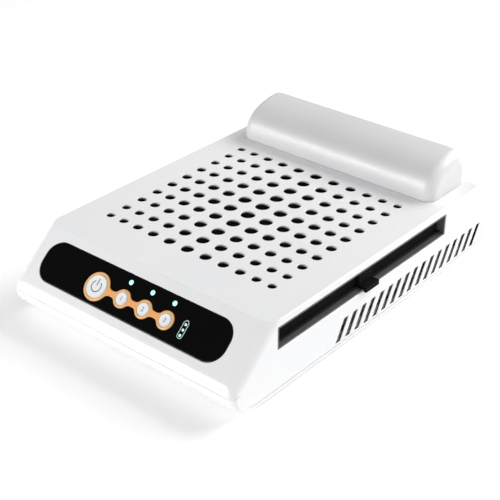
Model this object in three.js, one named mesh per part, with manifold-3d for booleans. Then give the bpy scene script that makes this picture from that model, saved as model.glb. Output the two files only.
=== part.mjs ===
// A rechargeable nail dust collector, built as an assembly of separate pieces.
//
// Millimetres, +Z up. X runs across the case, with the filter slot in its +X side. Y runs from the
// sloping control panel at the front (-Y) to the hand rest at the back (+Y). The origin is under the
// middle of the case, on the surface that its feet stand on.
//
// Air goes down through the holes in the deck, through the filter drawer and the inlet grille into
// the fan, and out through the slanted vents in both sides.

import * as THREE from "three";
import { mergeVertices } from "three/addons/utils/BufferGeometryUtils.js";
import Module from "manifold-3d";

const wasm = await Module();
wasm.setup();

// ---------------------------------------------------------------- driving dimensions

const GAP = 0.3; // between pieces that touch or slide on each other
const OVERCUT = 1; // how far a cutting tool runs past the face that it cuts

// The case: its side outline is one closed curve, the same along the whole width.
const CASE_WIDTH = 200;
const CASE_DEPTH = 294;
const FOOT_DROP = 2; // the case's bottom stands this far above the table
const DECK_Z = 56.2;
const DECK_FRONT_Y = -111.3;
const DECK_REAR_Y = 131;
const SEAM_Z = 19.5; // parting line between the shells, at the case's widest place
const NOSE_RADIUS = 11; // above the seam
const KEEL_LENGTH = 21; // the curve below the seam is a quarter ellipse, this long and
const KEEL_HEIGHT = SEAM_Z - FOOT_DROP; // this high
const WALL = 2.5;
const PANEL_CORNER_RADIUS = 8; // along the two sloping edges of the control panel

const HALF_WIDTH = CASE_WIDTH / 2;
const HALF_DEPTH = CASE_DEPTH / 2;
const SIDE_INNER_X = HALF_WIDTH - WALL;
const FLOOR_TOP_Z = FOOT_DROP + WALL;

// Suction holes: a grid whose pitch and diameter shrink towards its corners.
const HOLE_GRID_CENTRE = { x: -1.2, y: -5.3 };
const HOLE_COLUMNS = 11;
const HOLE_ROWS = 10;
const HOLE_PITCH = { x: 16.73, y: 16.04 }; // in the middle, tightening with each step outwards
const HOLE_TIGHTENING = { x: 0.43, y: 0.08 };
const HOLE_DIAMETER = 10.8;
const HOLE_SHRINK = { x: 2.8, y: 1.6 }; // from the middle to the outermost column and row
const HOLE_WALL = 1.6; // the deck is thinned from below under the whole grid
const HOLE_MARGIN = 8; // how far the thinned field reaches past the outermost holes' centres

// Control panel, in its own frame: x across, y up the slope from its lower edge, z outwards.
const WINDOW = { x: -3, y: 20.1, width: 166, height: 30.2, radius: 12.5, thickness: 1.2 };
const WINDOW_LEDGE = 3; // the shell reaches this far in behind the window's rim
const BUTTON_Y = 17.5;
const POWER = { x: -32.7, capRadius: 8.2, rimRadius: 10.25 };
const SPEED = { firstX: -9.4, pitch: 19.4, count: 3, capRadius: 4.6, rimRadius: 6.55 };
const TRIM_NECK = 4.2;
const TRIM_PROUD = 0.4;
const CAP_PROUD = 0.9;
const BUTTON_TRAVEL = 0.8;
const CAP_LENGTH = 3.7;
const CAP_FLANGE = 1;
const STEM_RADIUS = 1.6;
const STEM_END_Z = -6;
const LED = { y: 29.8, radius: 1.75, depth: 3 };
const GAUGE = { x: 44.9, y: 13.1, pitch: 3.8, count: 3, radius: 0.9 };
const BOARD = { width: 120, bottom: 5, top: 34, topZ: -10, thickness: 1.6 };
const SWITCH = { size: 6, height: 1.8, domeRadius: 1.7, domeHeight: 0.8 };

// Filter slot in the +X side, and the bay and drawer behind it.
const SLOT = { front: -104.6, rear: 86, bottom: 34.3, top: 51 };
const BAY_WALL = 1;
const BAY_FLOOR_BOTTOM = 31.5;
const SLEEVE_LENGTH = 5.5; // closed on all four sides behind the slot
const DRAWER = { left: -92, right: 94, wall: 3, ledge: 8, floor: 1.7 };
const DRAWER_LIP = 2.4;
const TAB = { y: -8, width: 15, reach: 3, thickness: 2.4, hook: 1.6 };
const MEDIA_HEIGHT = 4.2;
const MEDIA_THICKNESS = 0.7;
const MEDIA_PLEATS = 24;
const CLAMP_THICKNESS = 1;
const MESH_THICKNESS = 0.6;

// Slanted vents in both sides. The side walls are thinned on their inside round the vents.
const VENT = { firstY: -43.8, pitch: 10.45, count: 17, width: 5.2, lean: 8.8, bottom: 6.9, top: 22.9 };
const VENT_WALL = 1.2;
const VENT_MARGIN = 1.2; // how far the thinned field reaches past the vents

// Fan: its axis is vertical.
const FAN = { x: 0, y: 12, radius: 66, eye: 44, blades: 9, bottom: 12, top: 28.5 };
const FAN_PLATE = 1.4;
const SHROUD_WIDTH = 14;
const BLADE_THICKNESS = 1.5;
const BLADE_SWEEP = 0.95; // radians that a blade turns back from its root to its tip
const INLET_RADIUS = 52;
const GRILLE = { rim: 4, bar: 2, thickness: 2, rings: 2, spokes: 6, hubRadius: 9 };
const CUP = { radius: 20, wall: 1.5, bottom: 13.4, top: 27 };
const MAGNET_THICKNESS = 2;
const STATOR = { radius: 15.4, teeth: 6, core: 9, bottom: 14.5, top: 22 };
const BEARING = { radius: 4, bore: 1.8, height: 3 };
const SHAFT_RADIUS = 1.5;
const MOTOR_BASE = { radius: 26, bottom: 7.3, thickness: 2, tubeTop: 23 };
const MOTOR_SCREW = { count: 3, circle: 21 };

// Battery, charging and leads.
const CELL = { radius: 9.2, length: 65, pitch: 19.5, count: 3 };
const TRAY = { x: -44, y: -92, length: 70, width: 60, height: 9, wall: 1.2 };
const SOCKET = { x: 60, height: 15, flange: 5.5, barrel: 4.2, bore: 2.9, pin: 1, depth: 9 };
const CHARGE_BOARD = { width: 28, height: 18, back: -16, thickness: 1.6 };
const LEAD_RADIUS = 1.4;

// Feet and fasteners.
const FOOT = { x: 76, y: 112, radius: 7, pocket: 1.2 };
const POST = { x: 88, front: -116, rear: 118, radius: 3.5, pilot: 1.6, well: 4.5, wellTop: 8 };
const SCREW = { head: 2.9, headHeight: 1.7, shank: 1.25, recess: 1.2 };
const REST_SCREW_X = 55;

// Hand rest, on the deck.
const REST = { halfWidth: 88.5, front: 80.6, rear: 131, top: 84.7, ridgeY: 123.5, corner: 9 };
const REST_BASE = { inset: 5, thickness: 4 };

// ---------------------------------------------------------------- materials

function paint(color, roughness, metalness = 0) {
  return new THREE.MeshStandardMaterial({ color, roughness, metalness });
}

const WHITE_ABS = paint(0xf4f4f4, 0.25);
const BLACK_ABS = paint(0x151515, 0.55);
const BLACK_GLASS = paint(0x050505, 0.05);
const ORANGE_TRIM = paint(0xf3ad62, 0.35);
const BUTTON_WHITE = paint(0xe6e6e6, 0.35);
const AQUA_LENS = paint(0x9ff0ea, 0.2);
const GREY_PAD = paint(0xcfcfcf, 0.5);
const RUBBER = paint(0x2b2b2b, 0.9);
const STEEL = paint(0xb5b7ba, 0.3, 1);
const COPPER = paint(0xb36a3c, 0.4, 0.8);
const MAGNET = paint(0x3c3c40, 0.6, 0.4);
const CIRCUIT_GREEN = paint(0x1f5a38, 0.5);
const CELL_BLUE = paint(0x2c6aa8, 0.4);
const FILTER_PAPER = paint(0xdad9d2, 0.95);
const FILTER_MESH = paint(0x1c1c1c, 0.9);
const LEAD_BLACK = paint(0x202020, 0.6);

// ---------------------------------------------------------------- solids and their shapes

function solid(geometry) {
  const plain = geometry.clone();
  plain.deleteAttribute("normal");
  plain.deleteAttribute("uv");
  const merged = mergeVertices(plain);
  const vertProperties = new Float32Array(merged.attributes.position.array);
  const triVerts = new Uint32Array(merged.index.array);
  return new wasm.Manifold(new wasm.Mesh({ numProp: 3, vertProperties, triVerts }));
}

function geometryOf(manifold) {
  const mesh = manifold.getMesh();
  const geometry = new THREE.BufferGeometry();
  geometry.setAttribute("position", new THREE.BufferAttribute(mesh.vertProperties, 3));
  geometry.setIndex(new THREE.BufferAttribute(mesh.triVerts, 1));
  return geometry;
}

function join(pieces) {
  return pieces.reduce((whole, piece) => whole.add(piece));
}

function cut(whole, tools) {
  return whole.subtract(join(tools));
}

function named(name, shape, material) {
  const geometry = shape.isBufferGeometry ? shape : geometryOf(shape);
  const mesh = new THREE.Mesh(geometry, material);
  mesh.name = name;
  return mesh;
}

// A box given by its lowest and highest corners.
function block(x0, x1, y0, y1, z0, z1) {
  const geometry = new THREE.BoxGeometry(x1 - x0, y1 - y0, z1 - z0);
  geometry.translate((x0 + x1) / 2, (y0 + y1) / 2, (z0 + z1) / 2);
  return geometry;
}

// A plan outline made upright from z0 to z1.
function upright(shape, z0, z1, curveSegments = 3) {
  const options = { depth: z1 - z0, bevelEnabled: false, curveSegments };
  return new THREE.ExtrudeGeometry(shape, options).translate(0, 0, z0);
}

// A side outline, drawn in Y and Z, extruded across the case from x0 to x1.
function across(shape, x0, x1, curveSegments = 3) {
  const sideways = new THREE.Matrix4().makeBasis(
    new THREE.Vector3(0, 1, 0),
    new THREE.Vector3(0, 0, 1),
    new THREE.Vector3(1, 0, 0),
  );
  return upright(shape, x0, x1, curveSegments).applyMatrix4(sideways);
}

// A solid of revolution about Z, from [radius, z] pairs that go round the profile.
function turned(profile, segments) {
  const points = profile.map(([radius, z]) => new THREE.Vector2(radius, z));
  const geometry = new THREE.LatheGeometry(points, segments);
  return geometry.rotateX(Math.PI / 2);
}

function disc(radius, z0, z1, segments = 16) {
  return turned([[0, z0], [radius, z0], [radius, z1], [0, z1]], segments);
}

function ring(inner, outer, z0, z1, segments = 16) {
  return turned([[inner, z0], [outer, z0], [outer, z1], [inner, z1], [inner, z0]], segments);
}

function roundedRectangle(x, y, width, height, radius) {
  const right = x + width / 2;
  const left = x - width / 2;
  const top = y + height / 2;
  const bottom = y - height / 2;
  const shape = new THREE.Shape();
  shape.absarc(right - radius, bottom + radius, radius, -Math.PI / 2, 0);
  shape.absarc(right - radius, top - radius, radius, 0, Math.PI / 2);
  shape.absarc(left + radius, top - radius, radius, Math.PI / 2, Math.PI);
  shape.absarc(left + radius, bottom + radius, radius, Math.PI, Math.PI * 1.5);
  shape.closePath();
  return shape;
}

// ---------------------------------------------------------------- the case outline

// Angle of the outward normal of the straight wall that starts at the deck's edge and is tangent
// to the nose circle, for the front (side = -1) or the back (side = 1).
function wallNormalAngle(deckY, side) {
  const dy = deckY - side * (HALF_DEPTH - NOSE_RADIUS);
  const dz = DECK_Z - SEAM_Z;
  const distance = Math.hypot(dy, dz);
  return Math.atan2(dz, dy) + -side * Math.acos(NOSE_RADIUS / distance);
}

const PANEL_NORMAL = wallNormalAngle(DECK_FRONT_Y, -1);
const BACK_NORMAL = wallNormalAngle(DECK_REAR_Y, 1);
const PANEL_SLOPE = PANEL_NORMAL - Math.PI / 2;

// Where a wall with this normal leaves the nose circle, and where it meets the deck.
function wallFoot(side, normal, inset) {
  const radius = NOSE_RADIUS - inset;
  const y = side * (HALF_DEPTH - NOSE_RADIUS) + radius * Math.cos(normal);
  return { y, z: SEAM_Z + radius * Math.sin(normal) };
}

function wallTop(side, normal, inset) {
  const foot = wallFoot(side, normal, inset);
  const rise = DECK_Z - inset - foot.z;
  return { y: foot.y - rise * Math.tan(normal), z: DECK_Z - inset };
}

// The outline of the case from the side, moved inwards by inset.
function caseOutline(inset) {
  const noseY = HALF_DEPTH - NOSE_RADIUS;
  const keelY = HALF_DEPTH - KEEL_LENGTH;
  const nose = NOSE_RADIUS - inset;
  const keelLength = KEEL_LENGTH - inset;
  const keelHeight = KEEL_HEIGHT - inset;
  const deckFront = wallTop(-1, PANEL_NORMAL, inset);
  const deckRear = wallTop(1, BACK_NORMAL, inset);
  const shape = new THREE.Shape();
  shape.moveTo(deckRear.y, deckRear.z);
  shape.lineTo(deckFront.y, deckFront.z);
  shape.absarc(-noseY, SEAM_Z, nose, PANEL_NORMAL, Math.PI);
  shape.absellipse(-keelY, SEAM_Z, keelLength, keelHeight, Math.PI, Math.PI * 1.5);
  shape.absellipse(keelY, SEAM_Z, keelLength, keelHeight, -Math.PI / 2, 0);
  shape.absarc(noseY, SEAM_Z, nose, 0, BACK_NORMAL);
  shape.closePath();
  return shape;
}

// The panel's lower edge, which is the origin of the panel's own frame.
const PANEL_FOOT = wallFoot(-1, PANEL_NORMAL, 0);
const PANEL_FRAME = new THREE.Matrix4()
  .makeTranslation(0, PANEL_FOOT.y, PANEL_FOOT.z)
  .multiply(new THREE.Matrix4().makeRotationX(PANEL_SLOPE));

// The back wall's own frame: x towards -X, y up the wall, z outwards.
const BACK_FOOT = wallFoot(1, BACK_NORMAL, 0);
const BACK_FRAME = new THREE.Matrix4()
  .makeBasis(
    new THREE.Vector3(-1, 0, 0),
    new THREE.Vector3(0, -Math.sin(BACK_NORMAL), Math.cos(BACK_NORMAL)),
    new THREE.Vector3(0, Math.cos(BACK_NORMAL), Math.sin(BACK_NORMAL)),
  )
  .setPosition(0, BACK_FOOT.y, BACK_FOOT.z);

// A long bar that lies along the panel's slope with its two outer edges rounded. What it shares
// with the case is the case with rounded panel edges.
function panelBar(inset) {
  const reach = 400;
  const radius = PANEL_CORNER_RADIUS - inset;
  const width = CASE_WIDTH - 2 * inset;
  const shape = roundedRectangle(0, -inset - reach / 2, width, reach, radius);
  const bar = upright(shape, -reach, reach, 2).rotateX(Math.PI / 2);
  return solid(bar.applyMatrix4(PANEL_FRAME));
}

function caseBody(inset) {
  const half = HALF_WIDTH - inset;
  return solid(across(caseOutline(inset), -half, half)).intersect(panelBar(inset));
}

// ---------------------------------------------------------------- top shell

// Places along one axis of the hole grid, closer together towards the ends.
function gradedPlaces(count, pitch, tightening) {
  const places = [];
  for (let i = 0; i < count; i += 1) {
    const step = i - (count - 1) / 2;
    places.push(step * (pitch - tightening * Math.abs(step)));
  }
  return places;
}

// Cutters for the holes and for the thinned field that they stand in.
function suctionHoles() {
  const columns = gradedPlaces(HOLE_COLUMNS, HOLE_PITCH.x, HOLE_TIGHTENING.x);
  const rows = gradedPlaces(HOLE_ROWS, HOLE_PITCH.y, HOLE_TIGHTENING.y);
  const lastX = columns[HOLE_COLUMNS - 1];
  const lastY = rows[HOLE_ROWS - 1];
  const { x: cx, y: cy } = HOLE_GRID_CENTRE;
  const reachX = lastX + HOLE_MARGIN;
  const reachY = lastY + HOLE_MARGIN;
  const fieldBottom = DECK_Z - WALL - OVERCUT;
  const field = block(
    cx - reachX, cx + reachX, cy - reachY, cy + reachY, fieldBottom, DECK_Z - HOLE_WALL,
  );
  const holes = [solid(field)];
  for (const x of columns) {
    for (const y of rows) {
      const shrink = (HOLE_SHRINK.x * Math.abs(x)) / lastX + (HOLE_SHRINK.y * Math.abs(y)) / lastY;
      const radius = (HOLE_DIAMETER - shrink) / 2;
      const hole = disc(radius, fieldBottom, DECK_Z + OVERCUT, 8);
      hole.translate(cx + x, cy + y, 0);
      holes.push(solid(hole));
    }
  }
  return holes;
}

// A parallelogram that leans back as the vents do, drawn in Y and Z.
function leaningOutline(y0, y1, z0, z1) {
  const slope = VENT.lean / (VENT.top - VENT.bottom);
  const shape = new THREE.Shape();
  shape.moveTo(y0 + slope * (z0 - VENT.bottom), z0);
  shape.lineTo(y1 + slope * (z0 - VENT.bottom), z0);
  shape.lineTo(y1 + slope * (z1 - VENT.bottom), z1);
  shape.lineTo(y0 + slope * (z1 - VENT.bottom), z1);
  shape.closePath();
  return shape;
}

function sideVents() {
  const { firstY, pitch, count, width, bottom, top } = VENT;
  const lastY = firstY + (count - 1) * pitch + width;
  const field = leaningOutline(
    firstY - VENT_MARGIN, lastY + VENT_MARGIN, bottom - VENT_MARGIN, top + VENT_MARGIN,
  );
  const thinned = HALF_WIDTH - VENT_WALL;
  const vents = [
    solid(across(field, SIDE_INNER_X - OVERCUT, thinned)),
    solid(across(field, -thinned, -SIDE_INNER_X + OVERCUT)),
  ];
  for (let i = 0; i < count; i += 1) {
    const y = firstY + i * pitch;
    const shape = leaningOutline(y, y + width, bottom, top);
    vents.push(solid(across(shape, SIDE_INNER_X - OVERCUT, HALF_WIDTH + OVERCUT)));
    vents.push(solid(across(shape, -HALF_WIDTH - OVERCUT, -SIDE_INNER_X + OVERCUT)));
  }
  return vents;
}

function postPlaces() {
  const places = [];
  for (const y of [POST.front, POST.rear]) {
    for (const x of [-POST.x, POST.x]) {
      places.push({ x, y });
    }
  }
  return places;
}

// Four posts under the deck take the case screws.
function screwPosts() {
  const inside = solid(across(caseOutline(WALL / 2), -HALF_WIDTH, HALF_WIDTH));
  return postPlaces().map(({ x, y }) => {
    const post = solid(disc(POST.radius, POST.wellTop + GAP, DECK_Z, 8).translate(x, y, 0));
    const pilot = solid(disc(POST.pilot, POST.wellTop, SEAM_Z, 6).translate(x, y, 0));
    return post.intersect(inside).subtract(pilot);
  });
}

function windowOutline(grow) {
  const width = WINDOW.width + 2 * grow;
  const height = WINDOW.height + 2 * grow;
  return roundedRectangle(WINDOW.x, WINDOW.y, width, height, WINDOW.radius + grow);
}

// The recess that the window sits in, and the opening behind it.
function windowCutters() {
  const recess = upright(windowOutline(GAP), -WINDOW.thickness - GAP, OVERCUT);
  const opening = upright(windowOutline(-WINDOW_LEDGE), -WALL - OVERCUT, OVERCUT);
  return [recess, opening].map((tool) => solid(tool.applyMatrix4(PANEL_FRAME)));
}

function socketCutter() {
  const hole = disc(SOCKET.barrel + GAP, -WALL - OVERCUT, OVERCUT, 12);
  hole.translate(-SOCKET.x, SOCKET.height, 0);
  return solid(hole.applyMatrix4(BACK_FRAME));
}

function restScrewHoles() {
  const y = (REST.front + REST.rear) / 2;
  return [-REST_SCREW_X, REST_SCREW_X].map((x) => {
    const hole = disc(SCREW.shank + GAP, DECK_Z - WALL - OVERCUT, DECK_Z + OVERCUT, 8);
    return solid(hole.translate(x, y, 0));
  });
}

function topShell() {
  const aboveSeam = solid(
    block(-CASE_WIDTH, CASE_WIDTH, -CASE_DEPTH, CASE_DEPTH, SEAM_Z + GAP / 2, DECK_Z + OVERCUT),
  );
  const cheeks = solid(across(caseOutline(WALL + GAP), -HALF_WIDTH, HALF_WIDTH));
  const outside = caseBody(0).intersect(aboveSeam).add(cheeks.intersect(panelBar(0)));
  const hollow = cut(outside, [caseBody(WALL)]);
  const slot = solid(
    block(SIDE_INNER_X - OVERCUT, CASE_WIDTH, SLOT.front, SLOT.rear, SLOT.bottom, SLOT.top),
  );
  const openings = [slot, ...suctionHoles(), ...sideVents(), ...windowCutters()];
  openings.push(socketCutter(), ...restScrewHoles());
  const shell = cut(join([hollow, ...screwPosts()]), openings);
  return named("top_shell", shell, WHITE_ABS);
}

// ---------------------------------------------------------------- bottom shell, feet and screws

function footPlaces() {
  const places = [];
  for (const y of [-FOOT.y, FOOT.y]) {
    for (const x of [-FOOT.x, FOOT.x]) {
      places.push({ x, y });
    }
  }
  return places;
}

function motorScrewPlaces() {
  const places = [];
  for (let i = 0; i < MOTOR_SCREW.count; i += 1) {
    const angle = (i * 2 * Math.PI) / MOTOR_SCREW.count + Math.PI / 2;
    const x = FAN.x + MOTOR_SCREW.circle * Math.cos(angle);
    places.push({ x, y: FAN.y + MOTOR_SCREW.circle * Math.sin(angle) });
  }
  return places;
}

// A U-shaped band, as wide as the case, that the top shell's sides stand in.
function bottomShell() {
  const belowSeam = solid(
    block(-CASE_WIDTH, CASE_WIDTH, -CASE_DEPTH, CASE_DEPTH, 0, SEAM_Z - GAP / 2),
  );
  const inside = solid(across(caseOutline(WALL), -CASE_WIDTH, CASE_WIDTH));
  const band = caseBody(0).intersect(belowSeam).subtract(inside);
  const wellFloor = FOOT_DROP + SCREW.headHeight + 3 * GAP;
  const wells = postPlaces().map(({ x, y }) => {
    return solid(disc(POST.well, FOOT_DROP + WALL / 2, POST.wellTop, 8).translate(x, y, 0));
  });
  const bosses = motorScrewPlaces().map(({ x, y }) => {
    return solid(disc(3, FOOT_DROP + WALL / 2, MOTOR_BASE.bottom - GAP, 6).translate(x, y, 0));
  });
  const counterbores = postPlaces().map(({ x, y }) => {
    return solid(disc(SCREW.head + GAP, 0, wellFloor, 8).translate(x, y, 0));
  });
  const holes = postPlaces().map(({ x, y }) => {
    return solid(disc(SCREW.shank + GAP, 0, POST.wellTop + OVERCUT, 6).translate(x, y, 0));
  });
  const pilots = motorScrewPlaces().map(({ x, y }) => {
    return solid(disc(SCREW.shank + GAP, FOOT_DROP + OVERCUT, SEAM_Z, 6).translate(x, y, 0));
  });
  const pockets = footPlaces().map(({ x, y }) => {
    return solid(disc(FOOT.radius + GAP, 0, FOOT_DROP + FOOT.pocket, 12).translate(x, y, 0));
  });
  const body = join([band, ...wells, ...bosses]);
  const shell = cut(body, [...counterbores, ...holes, ...pilots, ...pockets]);
  return named("bottom_shell", shell, WHITE_ABS);
}

function feet() {
  const top = FOOT_DROP + FOOT.pocket - GAP;
  return footPlaces().map(({ x, y }, i) => {
    const profile = [[0, 0], [FOOT.radius - 1, 0], [FOOT.radius, 1], [FOOT.radius, top], [0, top]];
    const foot = named(`foot_${i + 1}`, turned(profile, 12), RUBBER);
    foot.position.set(x, y, 0);
    return foot;
  });
}

// A pan-head screw that points up, with its head's underside at z = 0 and a round recess.
function screwShape(length) {
  const { head, headHeight, shank, recess } = SCREW;
  const profile = [
    [0, -headHeight / 2], [recess, -headHeight / 2], [recess, -headHeight],
    [head - 0.6, -headHeight], [head, -headHeight + 0.6], [head, 0], [shank, 0],
    [shank, length - 1], [0, length],
  ];
  return turned(profile, 6);
}

function caseScrews() {
  const headTop = FOOT_DROP + SCREW.headHeight + 2 * GAP;
  return postPlaces().map(({ x, y }, i) => {
    const screw = named(`case_screw_${i + 1}`, screwShape(12), STEEL);
    screw.position.set(x, y, headTop);
    return screw;
  });
}

function motorScrews() {
  return motorScrewPlaces().map(({ x, y }, i) => {
    const screw = named(`motor_screw_${i + 1}`, screwShape(5), STEEL);
    screw.rotation.x = Math.PI;
    screw.position.set(x, y, MOTOR_BASE.bottom + MOTOR_BASE.thickness + GAP);
    return screw;
  });
}

function restScrews() {
  const y = (REST.front + REST.rear) / 2;
  return [-REST_SCREW_X, REST_SCREW_X].map((x, i) => {
    const screw = named(`rest_screw_${i + 1}`, screwShape(6), STEEL);
    screw.position.set(x, y, DECK_Z - WALL - GAP);
    return screw;
  });
}

// ---------------------------------------------------------------- control panel

function speedX(i) {
  return SPEED.firstX + i * SPEED.pitch;
}

// The trim's outline: a rim round each button, joined by necks.
function trimBody(grow, z0, z1) {
  const lastX = speedX(SPEED.count - 1);
  const neck = TRIM_NECK / 2 + grow;
  const bar = solid(block(POWER.x, lastX, BUTTON_Y - neck, BUTTON_Y + neck, z0, z1));
  const rims = [solid(disc(POWER.rimRadius + grow, z0, z1, 16).translate(POWER.x, BUTTON_Y, 0))];
  for (let i = 0; i < SPEED.count; i += 1) {
    rims.push(solid(disc(SPEED.rimRadius + grow, z0, z1, 12).translate(speedX(i), BUTTON_Y, 0)));
  }
  return join([bar, ...rims]);
}

function buttonTrim() {
  const z0 = -WINDOW.thickness;
  const holes = [solid(disc(POWER.capRadius + GAP, z0 - OVERCUT, OVERCUT, 16).translate(POWER.x, BUTTON_Y, 0))];
  for (let i = 0; i < SPEED.count; i += 1) {
    const hole = disc(SPEED.capRadius + GAP, z0 - OVERCUT, OVERCUT, 12);
    holes.push(solid(hole.translate(speedX(i), BUTTON_Y, 0)));
  }
  return named("button_trim", cut(trimBody(0, z0, TRIM_PROUD), holes), ORANGE_TRIM);
}

function controlWindow() {
  const plate = solid(upright(windowOutline(0), -WINDOW.thickness, 0));
  const holes = [trimBody(GAP, -WINDOW.thickness - OVERCUT, OVERCUT)];
  for (let i = 0; i < SPEED.count; i += 1) {
    const hole = disc(LED.radius + GAP, -WINDOW.thickness - OVERCUT, OVERCUT, 8);
    holes.push(solid(hole.translate(speedX(i), LED.y, 0)));
  }
  for (let i = 0; i < GAUGE.count; i += 1) {
    const hole = disc(GAUGE.radius + GAP, -WINDOW.thickness - OVERCUT, OVERCUT, 6);
    holes.push(solid(hole.translate(GAUGE.x, GAUGE.y + i * GAUGE.pitch, 0)));
  }
  return named("control_window", cut(plate, holes), BLACK_GLASS);
}

// A domed cap on a flange, with a stem that presses its switch.
function button(name, x, radius, segments) {
  const flangeZ = CAP_PROUD - CAP_LENGTH;
  const profile = [
    [0, STEM_END_Z], [STEM_RADIUS, STEM_END_Z], [STEM_RADIUS, flangeZ],
    [radius + CAP_FLANGE, flangeZ], [radius + CAP_FLANGE, flangeZ + 1], [radius, flangeZ + 1],
    [radius, CAP_PROUD - 0.5], [radius - 0.5, CAP_PROUD], [0, CAP_PROUD],
  ];
  const cap = named(name, turned(profile, segments), BUTTON_WHITE);
  cap.position.set(x, BUTTON_Y, 0);
  return cap;
}

function buttons() {
  const caps = [button("power_button", POWER.x, POWER.capRadius, 16)];
  for (let i = 0; i < SPEED.count; i += 1) {
    caps.push(button(`speed_button_${i + 1}`, speedX(i), SPEED.capRadius, 12));
  }
  return caps;
}

function lenses() {
  const all = [];
  for (let i = 0; i < SPEED.count; i += 1) {
    const lens = named(`led_lens_${i + 1}`, disc(LED.radius, -LED.depth, 0, 8), AQUA_LENS);
    lens.position.set(speedX(i), LED.y, 0);
    all.push(lens);
  }
  for (let i = 0; i < GAUGE.count; i += 1) {
    const lens = named(`gauge_lens_${i + 1}`, disc(GAUGE.radius, -LED.depth, 0, 6), AQUA_LENS);
    lens.position.set(GAUGE.x, GAUGE.y + i * GAUGE.pitch, 0);
    all.push(lens);
  }
  return all;
}

function controlBoard() {
  const half = BOARD.width / 2;
  const bottomZ = BOARD.topZ - BOARD.thickness;
  const board = block(-half, half, BOARD.bottom, BOARD.top, bottomZ, BOARD.topZ);
  return named("control_board", board, CIRCUIT_GREEN);
}

function tactSwitches() {
  const places = [POWER.x];
  for (let i = 0; i < SPEED.count; i += 1) {
    places.push(speedX(i));
  }
  const half = SWITCH.size / 2;
  return places.map((x, i) => {
    const box = solid(block(-half, half, -half, half, 0, SWITCH.height));
    const dome = solid(disc(SWITCH.domeRadius, OVERCUT, SWITCH.height + SWITCH.domeHeight, 8));
    const body = named(`tact_switch_${i + 1}`, box.add(dome), BLACK_ABS);
    body.position.set(x, BUTTON_Y, BOARD.topZ + GAP);
    return body;
  });
}

function controlPanel() {
  const panel = new THREE.Group();
  panel.position.set(0, PANEL_FOOT.y, PANEL_FOOT.z);
  panel.rotation.x = PANEL_SLOPE;
  panel.add(controlWindow(), buttonTrim(), ...buttons(), ...lenses());
  panel.add(controlBoard(), ...tactSwitches());
  return panel;
}

// ---------------------------------------------------------------- filter bay and drawer

const BAY = {
  left: -SIDE_INNER_X + GAP,
  right: HALF_WIDTH - GAP,
  front: SLOT.front + GAP,
  rear: SLOT.rear - GAP,
  bottom: SLOT.bottom + GAP,
  top: SLOT.top - GAP,
};

// A tray under the deck whose end is a sleeve that lines the slot.
function filterBay() {
  const sleeve = solid(block(BAY.left, BAY.right, BAY.front, BAY.rear, BAY.bottom, BAY.top));
  const base = solid(
    block(BAY.left, SIDE_INNER_X - GAP, BAY.front, BAY.rear, BAY_FLOOR_BOTTOM, BAY.bottom + OVERCUT),
  );
  const room = solid(
    block(
      BAY.left + BAY_WALL, BAY.right + OVERCUT, BAY.front + BAY_WALL, BAY.rear - BAY_WALL,
      BAY.bottom + BAY_WALL, BAY.top - BAY_WALL,
    ),
  );
  const openTop = solid(
    block(
      BAY.left + BAY_WALL, BAY.right - SLEEVE_LENGTH, BAY.front + BAY_WALL, BAY.rear - BAY_WALL,
      BAY.bottom + BAY_WALL, DECK_Z,
    ),
  );
  const relief = solid(
    block(
      BAY.left + 4, SIDE_INNER_X - 4, BAY.front + 4, BAY.rear - 4,
      BAY_FLOOR_BOTTOM - OVERCUT, BAY.bottom + BAY_WALL - 2,
    ),
  );
  const inlet = solid(disc(INLET_RADIUS + GRILLE.rim, 0, DECK_Z, 24).translate(FAN.x, FAN.y, 0));
  return named("filter_bay", cut(sleeve.add(base), [room, openTop, relief, inlet]), BLACK_ABS);
}

// Rings and spokes across the fan's inlet, in the bay's floor.
function inletGrille() {
  const z0 = BAY.bottom + BAY_WALL - GRILLE.thickness;
  const z1 = BAY.bottom + BAY_WALL;
  const outer = INLET_RADIUS + GRILLE.rim - GAP;
  const pieces = [solid(ring(INLET_RADIUS, outer, z0, z1, 24)), solid(disc(GRILLE.hubRadius, z0, z1, 12))];
  for (let i = 1; i <= GRILLE.rings; i += 1) {
    const radius = GRILLE.hubRadius + (i * (INLET_RADIUS - GRILLE.hubRadius)) / (GRILLE.rings + 1);
    pieces.push(solid(ring(radius - GRILLE.bar / 2, radius + GRILLE.bar / 2, z0, z1, 12)));
  }
  for (let i = 0; i < GRILLE.spokes; i += 1) {
    const spoke = block(GRILLE.hubRadius / 2, INLET_RADIUS + 1, -GRILLE.bar / 2, GRILLE.bar / 2, z0, z1);
    pieces.push(solid(spoke.rotateZ((i * 2 * Math.PI) / GRILLE.spokes)));
  }
  const grille = named("inlet_grille", join(pieces), BLACK_ABS);
  grille.position.set(FAN.x, FAN.y, 0);
  return grille;
}

const DRAWER_BOX = {
  front: BAY.front + BAY_WALL + GAP,
  rear: BAY.rear - BAY_WALL - GAP,
  bottom: BAY.bottom + BAY_WALL + GAP,
  top: BAY.top - BAY_WALL - GAP,
};

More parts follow.
